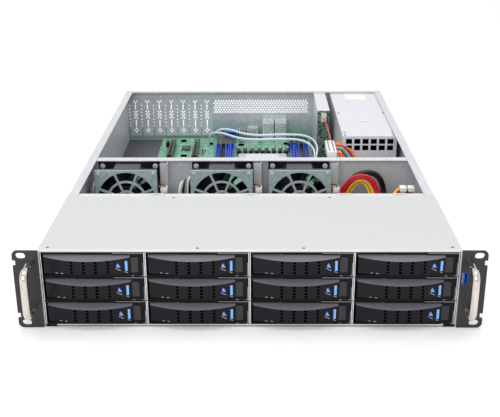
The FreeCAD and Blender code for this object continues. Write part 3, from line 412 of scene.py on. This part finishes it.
def carrier_finish():
    """Black moulded bezel in front, bare steel tray and drive behind it."""
    material, tree, shader, place, cloud = surface(
        "moulded_bezel_and_steel_tray", ("#08080A", "#101013"), 0.3, 0.0, 0.8, 0.03, Specular_IOR_Level=0.14)
    along = axis_of(tree, place, "Y")
    steel = math_of(tree, "GREATER_THAN", along, BEZEL_DEPTH - 0.05)
    black = ramp(tree, cloud, [(0.3, "#08080A"), (0.7, "#101013")])
    metal = ramp(tree, cloud, [(0.3, "#9B9CA0"), (0.7, "#B4B5B9")])
    paint(tree, shader, mixed(tree, steel, black, metal))
    tree.links.new(math_of(tree, "MULTIPLY", steel, 0.8), shader.inputs["Metallic"])
    return material


def cover_finish():
    """Pale grey powder coat, evenly matt, with the dark heads of its flush screws."""
    material, tree, shader, place, cloud = surface(
        "pale_powder_coat", ("#C2C3C3", "#CACBCB"), 0.42, 0.1, 1.2, 0.02)
    tone = ramp(tree, cloud, [(0.3, "#C2C3C3"), (0.7, "#CACBCB")])
    for x, y in COVER_SCREWS:
        spot = (x * MM, y * MM, COVER_TOP * MM)
        reach = put(tree, "ShaderNodeVectorMath", {0: place, 1: spot}, operation="DISTANCE").outputs["Value"]
        head = math_of(tree, "LESS_THAN", reach, COVER_SCREW_RADIUS * MM)
        tone = mixed(tree, head, tone, colour("#242425"))
    paint(tree, shader, tone)
    return material


def tray_finish():
    """Rolled steel walls and a floor that the rest of the case keeps in the dark."""
    material, tree, shader, place, cloud = surface(
        "rolled_steel_tray", ("#C4C5CA", "#D6D7DB"), 0.36, 0.35, 2.5, 0.01, (1, 0.1, 1))
    height = axis_of(tree, place, "Z")
    floor = math_of(tree, "MULTIPLY", math_of(tree, "LESS_THAN", height, FLOOR_TOP + 0.1),
                    math_of(tree, "GREATER_THAN", height, FLOOR_TOP - 1.1))
    wall = ramp(tree, cloud, [(0.3, "#C4C5CA"), (0.7, "#D6D7DB")])
    dull = ramp(tree, cloud, [(0.3, "#4C4A4F"), (0.7, "#5C5A60")])
    paint(tree, shader, mixed(tree, floor, wall, dull))
    return material


def panel_finish():
    """Galvanised rear panel, with a green cast low down where the board is mirrored in it."""
    material, tree, shader, place, cloud = surface(
        "galvanised_rear_panel", ("#BFC1C9", "#D2D4DA"), 0.36, 0.35, 6.0, 0.01)
    height = axis_of(tree, place, "Z")
    low = math_of(tree, "MULTIPLY", span_of(tree, height, *MIRROR_SPAN), 0.75)
    facing = facing_of(tree, "Y")
    inner = math_of(tree, "LESS_THAN", facing, -0.5)
    plain = ramp(tree, cloud, [(0.3, "#BFC1C9"), (0.7, "#D2D4DA")])
    green = ramp(tree, cloud, [(0.3, "#5E8B76"), (0.7, "#7FAA95")])
    paint(tree, shader, mixed(tree, math_of(tree, "MULTIPLY", low, inner), plain, green))
    return material


def board_finish():
    """Green solder mask over copper: paler traces, white print ticks and a chip's dull black top.

    The traces are drawn coarser than real ones, in rows 1.9 mm apart.
    """
    material, tree, shader, place, _ = surface(
        "green_solder_mask", ("#1F7A4C", "#2F9560"), 0.28, 0.0, 9.0, 0.01)
    lanes = put(tree, "ShaderNodeTexBrick",
                {"Vector": place, "Scale": 1.0, "Brick Width": 11 * MM, "Row Height": 1.9 * MM,
                 "Mortar Size": 0.22 * MM, "Mortar Smooth": 0.2, "Color1": colour("#1F7A4C"),
                 "Color2": colour("#3DA571"), "Mortar": colour("#63C493")}).outputs["Color"]
    cells = put(tree, "ShaderNodeTexVoronoi", {"Vector": place, "Scale": 1 / (5.5 * MM)},
                feature="F1").outputs["Distance"]
    pads = math_of(tree, "LESS_THAN", cells, 0.17)
    printed = put(tree, "ShaderNodeTexVoronoi", {"Vector": place, "Scale": 1 / (8.0 * MM)},
                  feature="DISTANCE_TO_EDGE").outputs["Distance"]
    ticks = math_of(tree, "LESS_THAN", printed, 0.028)
    tone = mixed(tree, pads, lanes, colour("#D9DCCF"))
    tone = mixed(tree, math_of(tree, "MULTIPLY", ticks, 0.55), tone, colour("#E8EDE8"))
    chip = math_of(tree, "GREATER_THAN", axis_of(tree, place, "Z"), BOARD_TOP + 0.1)
    paint(tree, shader, mixed(tree, chip, tone, colour("#17171A")))
    return material


def socket_finish():
    """Moulded nylon sockets, blue or black by channel, with black latches."""
    material, tree, shader, place, _ = surface("nylon_sockets", ("#131317", "#1B1B20"), 0.3, 0.0, 1.0, 0.01)
    black, blue = "#0E0E12", "#2346C8"
    bands = [(-160, black), (-60.9, blue), (-53.1, black), (-45.3, blue), (-29.0, black), (60.0, blue),
             (76.0, black), (83.5, blue), (92.0, black)]
    tone = by_place(tree, axis_of(tree, place, "X"), -160, 100, bands)
    latch = math_of(tree, "GREATER_THAN", axis_of(tree, place, "Z"), BOARD_TOP + SOCKET_RISE)
    paint(tree, shader, mixed(tree, latch, tone, colour(black)))
    return material


def cpu_finish():
    """Bright frame, with the white moulded cover of the empty socket."""
    material, tree, shader, place, cloud = surface(
        "socket_frame_and_cover", ("#D8D9DB", "#E9EAEB"), 0.3, 0.5, 2.0, 0.01)
    cover = math_of(tree, "GREATER_THAN", axis_of(tree, place, "Z"), BOARD_TOP + FRAME_RISE)
    frame_tone = ramp(tree, cloud, [(0.3, "#C9CACD"), (0.7, "#E0E1E3")])
    paint(tree, shader, mixed(tree, cover, frame_tone, colour("#F4F4F2")))
    return material


def port_finish():
    """Tinned shells; the video port's body and the front port's tongue are blue."""
    material, tree, shader, place, _ = surface(
        "tinned_port_shell", ("#C4C7CA", "#D8DADC"), 0.28, 0.6, 2.0, 0.01)
    along_x = axis_of(tree, place, "X")
    tin, blue = "#C9CCCF", "#2F6FD6"
    bands = [(-60, "#1F49C4"), (-22, tin), (217.2, blue), (221.7, tin)]
    tone = by_place(tree, along_x, -60, 230, bands)
    paint(tree, shader, tone)
    return material


def backplane_finish():
    """Green board with bare tan edges, and pale plugs on it."""
    material, tree, shader, place, cloud = surface(
        "backplane_board", ("#1E5A3C", "#2B7350"), 0.35, 0.0, 5.0, 0.01)
    upward = facing_of(tree, "Z")
    edge = math_of(tree, "GREATER_THAN", upward, 0.4)
    board = ramp(tree, cloud, [(0.3, "#1E5A3C"), (0.7, "#2B7350")])
    tone = mixed(tree, edge, board, colour("#B8946A"))
    plug = math_of(tree, "GREATER_THAN", axis_of(tree, place, "Y"), BACKPLANE_BACK + 0.1)
    paint(tree, shader, mixed(tree, plug, tone, colour("#ECEBE6")))
    return material


def bay_finish():
    """Plated bay housing, its dense green board and the white plug on that."""
    material, tree, shader, place, cloud = surface(
        "bay_housing_and_board", ("#C6C7C9", "#D6D7D9"), 0.32, 0.5, 4.0, 0.01)
    along = axis_of(tree, place, "Y")
    board = math_of(tree, "LESS_THAN", along, BAY_BOARD[1] + 0.1)
    plug = math_of(tree, "LESS_THAN", along, BAY_BOARD[0] - 0.1)
    cells = put(tree, "ShaderNodeTexVoronoi", {"Vector": place, "Scale": 1 / (1.7 * MM)}).outputs["Color"]
    grey = put(tree, "ShaderNodeRGBToBW", {"Color": cells}).outputs["Val"]
    mask = ramp(tree, grey, [(0.3, "#12241B"), (0.45, "#3B6B50"), (0.62, "#8FA697")])
    steel = ramp(tree, cloud, [(0.3, "#D2D3D5"), (0.7, "#E4E5E6")])
    tone = mixed(tree, board, steel, mask)
    paint(tree, shader, mixed(tree, plug, tone, colour("#F0EFEA")))
    return material


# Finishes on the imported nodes

def dress_nodes():
    """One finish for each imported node: by its name, or by the kind that its name starts with."""
    by_name = {
        "chassis_tray": tray_finish(), "front_cover": cover_finish(), "rear_panel": panel_finish(),
        "slot_covers": spangle_steel, "rack_ears": ear_coat, "ear_handles": chrome,
        "drive_cage": bright_plate, "backplane": backplane_finish(), "fan_housings": fan_plastic,
        "fan_wall": rolled_steel,
        "motherboard": board_finish(), "board_sockets": socket_finish(), "cpu_socket": cpu_finish(),
        "heatsinks": drawn_aluminium, "ports": port_finish(), "psu_cage": cage_zinc, "rear_bay": bay_finish(),
        "fasteners": black_oxide, "cable_harness": BLACK, "psu_module_lower": spangle_steel,
        "psu_module_upper": spangle_steel,
    }
    by_kind = {"lever": lever_finish(), "release": release_finish(), "carrier": carrier_finish(),
               "impeller": fan_plastic}
    for name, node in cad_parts.items():
        node.data.materials.clear()
        node.data.materials.append(by_name.get(name) or by_kind[name.split("_")[0]])


# Levers

# Places from the bezel's left edge, and heights from the row's middle
LEVER_BOW = ((3.4, -1.4), (47.45, -9.0), (91.5, -2.25))
VENT_COLUMNS = (31.7, 44.0, 56.0, 68.3)
VENT_ROWS = (5.8, 2.1, -1.6, -5.3)
VENT_HALF = 1.2
WINDOW_X = 79.6
PIPES = ((15.7, 19.6), (21.3, 25.3))
RIDGES = (((74.1, 0.0), (82.8, -4.3)), ((85.0, -5.6), (89.0, -7.6)))
RIMS = ((74.0, 104.6, 12.3, 12.7), (92.0, 104.6, -12.9, -12.5), (104.2, 104.6, -12.5, 2.0))
FLANGE_WIDTH = 0.7


def bow_front(x):
    """How far forward the lever's bowed face, an arc through three points, stands at a place."""
    (ax, ay), (bx, by), (cx, cy) = LEVER_BOW
    d = 2 * (ax * (by - cy) + bx * (cy - ay) + cx * (ay - by))
    a2, b2, c2 = ax * ax + ay * ay, bx * bx + by * by, cx * cx + cy * cy
    centre_x = (a2 * (by - cy) + b2 * (cy - ay) + c2 * (ay - by)) / d
    centre_y = (a2 * (cx - bx) + b2 * (ax - cx) + c2 * (bx - ax)) / d
    radius = math.hypot(ax - centre_x, ay - centre_y)
    return centre_y - math.sqrt(radius * radius - (x - centre_x) ** 2)


def vent_block(left, middle):
    """Four columns of four small vents, as near-black patches whose colour is painted shade for the holes."""
    vents = []
    for start in VENT_COLUMNS:
        front = bow_front(start + 1.2)
        for rise in VENT_ROWS:
            height = (middle + rise - VENT_HALF, middle + rise + VENT_HALF)
            vents.append(block("vent", (left + start - 0.3, left + start + 2.7), (front - 0.12, front + 1.2),
                               height))
    return merge(vents, "lever_vents")


def status_window(left, middle):
    """A triangular window with its point up."""
    clear()
    place = ((left + WINDOW_X) * MM, (bow_front(WINDOW_X) + 0.1) * MM, (middle + 0.9) * MM)
    bpy.ops.mesh.primitive_cylinder_add(vertices=3, radius=3.2 * MM, depth=0.8 * MM, location=place,
                                        rotation=(math.pi / 2, 0, 0))
    return settle(bpy.context.object, "lever_window")


def pipe_pair(left, middle):
    """Two light pipes near the lever's lower edge."""
    pipes = []
    for start, end in PIPES:
        front = bow_front((start + end) / 2)
        pipes.append(block("pipe", (left + start, left + end), (front - 0.1, front + 0.5),
                           (middle - 7.3, middle - 6.5), 0.1))
    return merge(pipes, "lever_pipes")


def ridge_pair(left, middle):
    """Two thin ridges that run down from the window to below the latch, pale with a painted highlight along
    the lever's edges.
    """
    ridges = []
    for (start, top), (end, low) in RIDGES:
        half = (end - start) / 2
        front = bow_front((start + end) / 2)
        ridge = block("ridge", (left + start, left + end), (front - 0.3, front + 0.9),
                      (middle - 0.22, middle + 0.22))
        centre = Vector(((left + start + half) * MM, 0, middle * MM))
        slope = Matrix.Rotation(math.atan2(top - low, end - start), 4, "Y")
        drop = Matrix.Translation((0, 0, (top + low) / 2 * MM))
        ridge.data.transform(drop @ Matrix.Translation(centre) @ slope @ Matrix.Translation(-centre))
        ridges.append(ridge)
    return merge(ridges, "lever_ridge_highlights")


def bezel_edges(left, middle):
    """The bezel's pale edge lines, which are painted highlights, and the bright tray flanges along its sides.
    """
    rims = merge([block("rim", (left + a, left + b), (-0.08, 0.4), (middle + low, middle + high))
                  for a, b, low, high in RIMS], "bezel_rim_highlights")
    flange_z = (middle - BEZEL_HALF + 0.1, middle + BEZEL_HALF - 0.1)
    flanges = merge([block("flange", (left + start, left + start + FLANGE_WIDTH), (-0.1, 0.5), flange_z)
                     for start in (0.05, BEZEL_WIDTH - FLANGE_WIDTH - 0.05)], "tray_flanges")
    return rims, flanges


def lever_trims():
    """The trims of the lowest left bay, then a copy of each for all twelve bays."""
    place = (FIRST_BEZEL, -ROW_PITCH)
    vents, window = vent_block(*place), status_window(*place)
    pipes, ridges = pipe_pair(*place), ridge_pair(*place)
    rims, flanges = bezel_edges(*place)
    sets = ((vents, chip_black_and_painted_shade, "lever"), (window, blue_window, "lever"), (pipes, light_pipe, "lever"),
            (ridges, edge_light, "lever"), (rims, edge_light, "carrier"), (flanges, bright_plate, "carrier"))
    for column in range(4):
        for row in range(3):
            bay = f"_c{column + 1}_r{row + 1}"
            for piece, finish, body in sets:
                copy = twin(piece, piece.name + bay, column * COLUMN_PITCH, 0, row * ROW_PITCH)
                fit(copy, finish, body + bay)
    for piece, _, _ in sets:
        bpy.data.objects.remove(piece)


# Handles

HANDLE_X = 223.5
HANDLE_RADIUS = 3.99
# Places (y, z) of the bar from its lower foot to its upper one
HANDLE_BEND = ((-2.5, -19), (-12, -19), (-30.5, -19), (-30.5, -1), (-30.5, 12), (-30.5, 30), (-12, 30),
               (-2.5, 30))


def ear_handle(side, name):
    """A bent round bar that stands out from the ear on two feet."""
    bar = wire(name, [(side * HANDLE_X, y, z) for y, z in HANDLE_BEND], HANDLE_RADIUS, 6, 16)
    return fit(bar, chrome, "chassis")


def handles():
    """Both handles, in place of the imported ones."""
    right = ear_handle(1, "right_handle_bar")
    ear_handle(-1, "left_handle_bar")
    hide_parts("ear_handles")


# Fans

GUARD_Y = (253.2, 254.9)
GUARD_HALF = 40.0
GUARD_MOUTH = 37.0
GUARD_RINGS = ((25.8, 22.9), (12.6, 9.7))
SPOKE_REACH = (9.9, 38.0)
SPOKE_HALF = 1.45
SPOKE_COUNT = 8
GUARD_SCREW = 35.5


def stamped_guard(x):
    """Stamped guard plate: a square sheet with a round mouth, two rings and eight spokes."""
    through = (GUARD_Y[0] - 1, GUARD_Y[1] + 1.1)
    plate = block("fan_guard", (x - GUARD_HALF, x + GUARD_HALF), GUARD_Y,
                  (FAN_Z - GUARD_HALF, FAN_Z + GUARD_HALF))
    plate = cut(plate, peg("mouth", (x, FAN_Z), "Y", GUARD_MOUTH, through, 72))
    rings = []
    for outer, inner in GUARD_RINGS:
        ring = peg("ring", (x, FAN_Z), "Y", outer, GUARD_Y, 64)
        rings.append(cut(ring, peg("hole", (x, FAN_Z), "Y", inner, through, 64)))
    spoke = block("spoke", (x + SPOKE_REACH[0], x + SPOKE_REACH[1]), (GUARD_Y[0] + 0.02, GUARD_Y[1] - 0.02),
                  (FAN_Z - SPOKE_HALF, FAN_Z + SPOKE_HALF))
    step = 360 / SPOKE_COUNT
    spokes = [turned(spoke, "spoke", math.radians(step / 2 + step * k), (x, FAN_Z))
              for k in range(SPOKE_COUNT)]
    bpy.data.objects.remove(spoke)
    guard = merge([plate] + rings + spokes, "fan_guard")
    return soften(guard, 0.15, 1)


def guard_screws(x):
    """A slotted screw in each corner of the guard."""
    screws = []
    for dx in (-GUARD_SCREW, GUARD_SCREW):
        for dz in (-GUARD_SCREW, GUARD_SCREW):
            head = peg("screw", (x + dx, FAN_Z + dz), "Y", 2.9, (252.5, 254.0), 24, 0.4)
            slit_z = (FAN_Z + dz - 0.4, FAN_Z + dz + 0.4)
            screws.append(cut(head, block("slit", (x + dx - 2, x + dx + 2), (252, 253), slit_z)))
    return merge(screws, "fan_screws")


def fan_guards():
    """Guard, screws, plug and plug leads of the left fan, then a copy of each for all three."""
    x = FAN_CENTRES[0]
    guard, screws = stamped_guard(x), guard_screws(x)
    plug = block("fan_plug", (x + 43.5, x + 52.0), (258, 268), (8, 15), 0.5)
    front_run = [(x + 41, 262, 16), (x + 44, 260, 16.5), (x + 48, 259, 15), (x + 50, 259, 12)]
    back_run = [(x + 41, 264, 17), (x + 45, 262, 18), (x + 49, 261, 17), (x + 51, 261, 13)]
    front_tail, back_tail = wire("fan_tail", front_run, 0.9), wire("fan_tail_black", back_run, 0.9)
    sets = ((guard, guard_zinc, "fan_black"), (screws, spangle_steel, "screw_black"),
            (plug, nylon, "socket_plastic"), (front_tail, ORANGE, "wire_insulation"),
            (back_tail, BLACK, "wire_insulation"))
    for k, centre in enumerate(FAN_CENTRES):
        for piece, finish, slot in sets:
            fit(twin(piece, f"{piece.name}_{k + 1}", centre - x), finish, "chassis")
    for piece, _, _ in sets:
        bpy.data.objects.remove(piece)


# Wires

def wire(name, points, radius, roundness=2, steps=8):
    """A round wire on one smooth curve."""
    line = bpy.data.curves.new(name, "CURVE")
    line.dimensions = "3D"
    line.bevel_depth = radius * MM
    line.bevel_resolution = roundness
    line.resolution_u = steps
    line.use_fill_caps = True
    run = line.splines.new("NURBS")
    run.points.add(len(points) - 1)
    for spot, place in zip(run.points, points):
        spot.co = (place[0] * MM, place[1] * MM, place[2] * MM, 1.0)
    run.order_u = 3
    run.use_endpoint_u = True
    curve = bpy.data.objects.new(name, line)
    bpy.context.scene.collection.objects.link(curve)
    only(curve)
    bpy.ops.object.convert(target="MESH")
    piece = bpy.context.object
    piece.name = name
    piece.data.name = name
    bpy.ops.object.shade_smooth()
    return piece


def lead(name, points, radius, finish):
    """A wire of the harness, which stays with the chassis."""
    return fit(wire(name, points, radius), finish, "chassis")


# Route of the feed, with how far its wires fan out at each point
FEED = ((162, 396.7, -30, 0.5), (162, 370, -30, 0.5), (148, 346, -30, 0.5), (129, 326, -29, 0.45),
        (122, 294, -28, 0.4), (119, 268, -16, 0.5), (118, 258, 8, 0.9), (130, 256, 30, 1.0),
        (150, 255, 31, 1.0), (160, 250, 10, 0.9), (158, 236, -12, 0.6), (160, 208, -32, 0.5),
        (160, 174.5, -32, 0.4))


def bundle(name, route, lanes):
    """Wires side by side along a route; a lane is a wire's sideways and upward place, radius and finish."""
    for k, (across, rise, radius, finish) in enumerate(lanes):
        points = []
        for n, (*place, spread) in enumerate(route):
            before = Vector(route[max(n - 1, 0)][:3])
            after = Vector(route[min(n + 1, len(route) - 1)][:3])
            along = (after - before).normalized()
            side = along.cross(Vector((0, 1, 0.2))).normalized()
            points.append(Vector(place) + (side * across + side.cross(along) * rise) * spread)
        lead(f"{name}_{k + 1}", points, radius, finish)


FRONT_LANES = ((7.0, -5.2, 1.35, RED), (4.2, -5.6, 1.35, RED), (1.2, -5.4, 1.35, RED), (5.6, -2.4, 1.35, RED),
               (-2.4, -4.8, 1.2, YELLOW), (-5.2, -4.0, 1.2, ORANGE), (-8.0, -3.0, 1.2, YELLOW))
REAR_LANES = ((8.4, 2.6, 1.35, BLACK), (5.6, 3.4, 1.35, BLACK), (2.6, 3.4, 1.35, BLACK),
              (8.0, 6.2, 1.35, BLACK), (5.0, 6.6, 1.35, BLACK))
LOOM_TONES = (ORANGE, ORANGE, ORANGE, BLACK, RED, BLUE, GREEN, BLACK, RED, RED, YELLOW, RED)
BAY_LEAD = ((111, 524, 33), (111.5, 516, 33.5), (113, 490, 30), (115, 450, 28), (114, 418, 26),
            (113, 409, 25))
DATA_CABLES = (((-74, 598, -37), (-74, 598, -17), (-56, 582, -7), (-16, 538, -8), (36, 540, -7),
                (80, 542, -8), (97, 500, -10), (93, 450, -16), (93, 450, -37)),
               ((-66, 606, -37), (-66, 606, -14), (-44, 588, -3), (-6, 548, -4), (44, 552, -3), (88, 552, -4),
                (103, 504, -6), (93.5, 441, -12), (93.5, 441, -37)))
SIDE_LEADS = ((-92, (WHITE, GREY, BLACK, GREY, WHITE)), (-207, (GREY, WHITE, GREY)))
DRIVE_FEED = ((172, 178, -8, 1), (174, 196, 12, 1), (180, 214, 26, 1), (192, 222, 28, 1), (204, 214, 16, 1),
              (206, 196, -4, 1), (206, 178, -10, 1))
DRIVE_LANES = ((2.6, 2.0, 1.3, YELLOW), (0, 2.2, 1.3, YELLOW), (-2.6, 1.6, 1.3, RED), (1.2, -0.8, 1.3, RED))


def power_loom():
    """The board's main plug with its keyed rows, and the wires from it to the supply."""
    plug = block("power_plug", (105, 118), (358, 410), (20, 32), 0.6)
    keys = block("key", (107, 109.4), (360.5, 363), (31.6, 32.3))
    repeat(keys, 12, 0, 4.0, 0)
    second_row = twin(keys, "key_row", 6.2)
    fit(merge([keys, second_row], "power_plug_keys"), light_pipe, "chassis")
    fit(plug, nylon, "chassis")
    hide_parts("cable_harness")
    for k, tone in enumerate(LOOM_TONES):
        y = 407.0 - 4.1 * k
        reach = 150.0 - 1.6 * k
        low_x = 149 - 0.5 * k
        points = [(117.5, y, 27.5), (124, y, 30), (reach - 10, y - 3, 27 - 0.4 * k),
                  (reach, y - 8 - 0.4 * k, 12), (reach + 1.5, 374 - 0.6 * k, -6),
                  (low_x, 384 - 0.8 * k, -20), (low_x, 396, -26 + 0.3 * k)]
        lead(f"loom_wire_{k + 1}", points, 1.25, tone)


def side_leads():
    """Leads that stand up on either side of the left fan."""
    for x, tones in SIDE_LEADS:
        for k, tone in enumerate(tones):
            shift = x + 2.7 * k
            points = [(shift - 3, 262 + k, -38), (shift - 3, 262 + k, -10), (shift - 2, 264 + k, 12 + 2 * k),
                      (shift + 2, 272, 22 + 1.5 * k), (shift + 5, 281, 10), (shift + 4, 284, -8),
                      (shift + 3, 290, -26)]
            lead(f"side_lead_{abs(x)}_{k + 1}", points, 1.3, tone)


def harness():
    """Feed loop, main power loom with its plug, data cables, and the small leads and plugs by the fans."""
    bundle("feed_wire", FEED, FRONT_LANES)
    returned = [(x + 9 * max(spread - 0.5, 0) * 2, y, z, spread) for x, y, z, spread in FEED]
    bundle("feed_return", returned, REAR_LANES)
    power_loom()
    lead("bay_lead", BAY_LEAD, 1.2, RED)
    for k, route in enumerate(DATA_CABLES):
        for lane, tone in enumerate((PALE_BLUE, WHITE)):
            shifted = [(x, y + 2.8 * lane, z + 0.4 * lane) for x, y, z in route]
            lead(f"data_cable_{k + 1}_{lane + 1}", shifted, 1.4, tone)
    side_leads()
    bundle("second_wire", DRIVE_FEED, DRIVE_LANES)
    for k, x in enumerate((184, 194)):
        plug = block(f"drive_plug_{k + 1}", (x, x + 8), (210, 220), (27, 33), 0.6)
        fit(plug, nylon, "chassis")


# Rear panel punchings

SLOT_PITCH = 20.32
SLOT_COUNT = 7
SLOT_X = -200.8
COVER_FRONT = 652.9
HOLE_PITCH = 4.5
HOLE_ROWS = 6
# Dots of one slot cover, from its middle line
COVER_DOTS = ((-2.3, 26.3), (2.3, 26.3), (0, 23.4), (-2.0, 8.4), (2.0, 8.4), (0, 5.6), (-2.2, 2.8),
              (2.2, 2.8), (0, 0.0), (-2.2, -2.8), (2.2, -2.8), (0, -21.6), (-2.4, -24.6), (2.4, -24.6),
              (0, -27.6))
COVER_BARS = ((11.6, 20.6), (-18.2, -6.2))


def punchings():
    """Hexagon vent above the port shield, and the dots and bars punched in and between the slot covers, as
    thin patches of painted light and shade.
    """
    span = (PANEL_FRONT - 0.12, 655.08)
    rows = []
    for k in range(HOLE_ROWS):
        odd = k % 2
        hole = peg("hole", (-66.0 + odd * HOLE_PITCH / 2, 6.9 + 3.9 * k), "Y", 1.62, span, 6)
        rows.append(repeat(hole, 35 if odd else 36, HOLE_PITCH))
    fit(merge(rows, "hexagon_vent"), daylight, "chassis")
    dots = peg("dot", (-211.0, -17.5), "Y", 1.15, span, 12)
    repeat(dots, 7, 0, 0, 6.0)
    dots.name = "panel_dots"
    repeat(dots, SLOT_COUNT, SLOT_PITCH)
    fit(dots, daylight, "chassis")
    span = (COVER_FRONT - 0.12, PANEL_FRONT + 0.05)
    marks = [peg("mark", (SLOT_X + x, z), "Y", 1.25, span, 12) for x, z in COVER_DOTS]
    marks += [block("bar", (SLOT_X - 0.9, SLOT_X + 0.9), span, height, 0.3) for height in COVER_BARS]
    marks = merge(marks, "slot_cover_marks")
    repeat(marks, SLOT_COUNT, SLOT_PITCH)
    fit(marks, daylight, "chassis")


# Board parts

def board_parts():
    """Chokes, capacitors, small chips and headers, each drawn once and copied into place."""
    z = BOARD_TOP
    choke = block("choke", (-3.6, 3.6), (-3.6, 3.6), (z, z + 5), 0.6)
    can = peg("can", (0, 0), "Z", 3.1, (z, z + 8.5), 20, 0.5)
    chip = block("chip", (-4.5, 4.5), (-4.5, 4.5), (z, z + 1.1), 0.1)
    speck = block("speck", (-1.1, 1.1), (-0.7, 0.7), (z, z + 0.9), 0.05)
    header = block("header", (-2.6, 2.6), (-7, 7), (z, z + 8), 0.3)
    chokes = [(-22 + 9.4 * k, 560) for k in range(9)]
    cans = [(-24 + 11.5 * k, 570) for k in range(8)]
    cans += [(-22, 488), (-22, 500), (53, 488), (53, 500), (-80, 560)]
    chips = [(-112, 548), (-72, 612), (-118, 628), (56, 612), (-70, 470), (-112, 470), (70, 612), (-20, 606)]
    specks = [(-120 + 7.3 * (k % 9) + 2.1 * (k % 3), 470 + 14.7 * (k // 9) + 1.7 * (k % 5))
              for k in range(90)]
    headers = [(-75, 498), (-68, 498), (93, 430), (93, 412), (-142, 600), (60, 590)]
    sets = ((choke, chokes, "board_chokes", moulded_black),
            (can, cans, "board_capacitors", drawn_aluminium),
            (chip, chips, "board_chips", chip_black_and_painted_shade), (speck, specks, "board_specks", nylon),
            (header, headers, "board_headers", moulded_black))
    for piece, places, name, finish in sets:
        group = merge([twin(piece, "part", x, y) for x, y in places], name)
        fit(group, finish, "chassis")
        bpy.data.objects.remove(piece)


# Screws, labels and small fittings

SUPPLY_TOP = 42.0
STUD_Y = (395, 620)
STUD_Z = 32
WALL_SIDE = 216.4
RIVET_X = (-93, -85, 96, 200)
RIVET_Z = 33
HOUSING_BOLT = 34.5


def small_fittings():
    """Screws, bare label and slit of the supply, a near-black sheet of painted shade at its front end, lip
    corners, stud heads, and the fan wall's hardware.
    """
    heads = [peg("screw", (x, y), "Z", 1.7, (SUPPLY_TOP - 0.2, SUPPLY_TOP + 0.35), 20, 0.15)
             for x in (133, 202.5) for y in (403, 416, 520, 646)]
    fit(merge(heads, "supply_screws"), black_oxide, "chassis")
    lips = [block("lip", span, (0, 1.2), (-44, -42.85)) for span in ((-213.7, -201.9), (201.9, 213.7))]
    fit(merge(lips, "front_lip_corners"), bright_plate, "chassis")
    label = block("bare_label", (152, 186), (604, 642), (SUPPLY_TOP - 0.1, SUPPLY_TOP + 0.12), 0.05)
    fit(label, blank_label, "chassis")
    slit = block("supply_slit", (160, 172), (470, 471.6), (SUPPLY_TOP - 0.1, SUPPLY_TOP + 0.05))
    fit(slit, light_pipe, "chassis")
    # A near-black sheet at the supply's front end: painted shade.
    end_shade = block("supply_end_shade", (131, 204), (398.1, 398.5), (-6, 40))
    fit(end_shade, chip_black_and_painted_shade, "chassis")
    spans = ((WALL_SIDE, WALL_SIDE + 1), (-WALL_SIDE - 1, -WALL_SIDE))
    studs = [peg("head", (y, STUD_Z), "X", 4.2, span, 24, 0.4) for y in STUD_Y for span in spans]
    fit(merge(studs, "rail_stud_heads"), spangle_steel, "chassis")
    rivets = [peg("rivet", (x, RIVET_Z), "Y", 2.0, (292.2, 293.1), 20, 0.3) for x in RIVET_X]
    fit(merge(rivets, "wall_rivets"), spangle_steel, "chassis")
    bolts = [peg("bolt", (x + side * HOUSING_BOLT, FAN_Z + HOUSING_BOLT), "Y", 3.4, (286.6, 288.1), 24, 0.4)
             for x in FAN_CENTRES for side in (-1, 1)]
    fit(merge(bolts, "housing_bolts"), spangle_steel, "chassis")


# Stage, light and camera

def stage():
    """Pale floor that runs out of sight, and even white light from all around."""
    clear()
    bpy.ops.mesh.primitive_plane_add(size=14, location=(0, 0.4, cad_low.z - 0.0005))
    floor = settle(bpy.context.object, "studio_floor")
    floor.data.materials.append(studio)
    world = bpy.data.worlds.new("studio")
    bpy.context.scene.world = world
    world.use_nodes = True
    world.node_tree.nodes["Background"].inputs["Color"].default_value = colour("#FFFFFF")
    world.node_tree.nodes["Background"].inputs["Strength"].default_value = 1.0


def lamp(name, place, aim, size, power):
    """A soft rectangular lamp turned to a place."""
    data = bpy.data.lights.new(name, "AREA")
    data.shape = "RECTANGLE"
    data.size, data.size_y = size
    data.energy = power
    light = bpy.data.objects.new(name, data)
    bpy.context.scene.collection.objects.link(light)
    light.location = place
    light.rotation_euler = (Vector(aim) - Vector(place)).to_track_quat("-Z", "Y").to_euler()


# Camera: place in metres, turns in radians
CAMERA_PLACE = (0.009493, -0.821673, 0.414878)
CAMERA_DOWN = math.radians(21.64)
CAMERA_YAW = -0.010673
CAMERA_ROLL = -0.0042767


def camera():
    """A camera in front of the server and above it, looking down on the open top."""
    data = bpy.data.cameras.new("camera")
    data.lens, data.sensor_width = 64.14, 36.0
    data.clip_start, data.clip_end = 0.01, 50.0
    view = bpy.data.objects.new("camera", data)
    bpy.context.scene.collection.objects.link(view)
    down, yaw, roll = CAMERA_DOWN, CAMERA_YAW, CAMERA_ROLL
    ahead = Vector((math.sin(yaw) * math.cos(down), math.cos(yaw) * math.cos(down), -math.sin(down)))
    level = Vector((math.cos(yaw), -math.sin(yaw), 0))
    above = level.cross(ahead)
    right = level * math.cos(roll) + above * math.sin(roll)
    upper = above * math.cos(roll) - level * math.sin(roll)
    axes = Matrix((right, upper, -ahead)).transposed().to_4x4()
    view.matrix_world = Matrix.Translation(CAMERA_PLACE) @ axes
    bpy.context.scene.camera = view


camera()
dress_nodes()
harness()
lever_trims()
handles()
fan_guards()
punchings()
board_parts()
small_fittings()
stage()
lamp("overhead", (0.0, 0.1, 1.9), (0.0, 0.25, 0.0), (2.4, 1.6), 9)
lamp("front", (-0.4, -1.5, 1.0), (0.0, 0.4, 0.0), (1.4, 0.9), 14)
bpy.context.scene.view_settings.view_transform = "Standard"

clear()
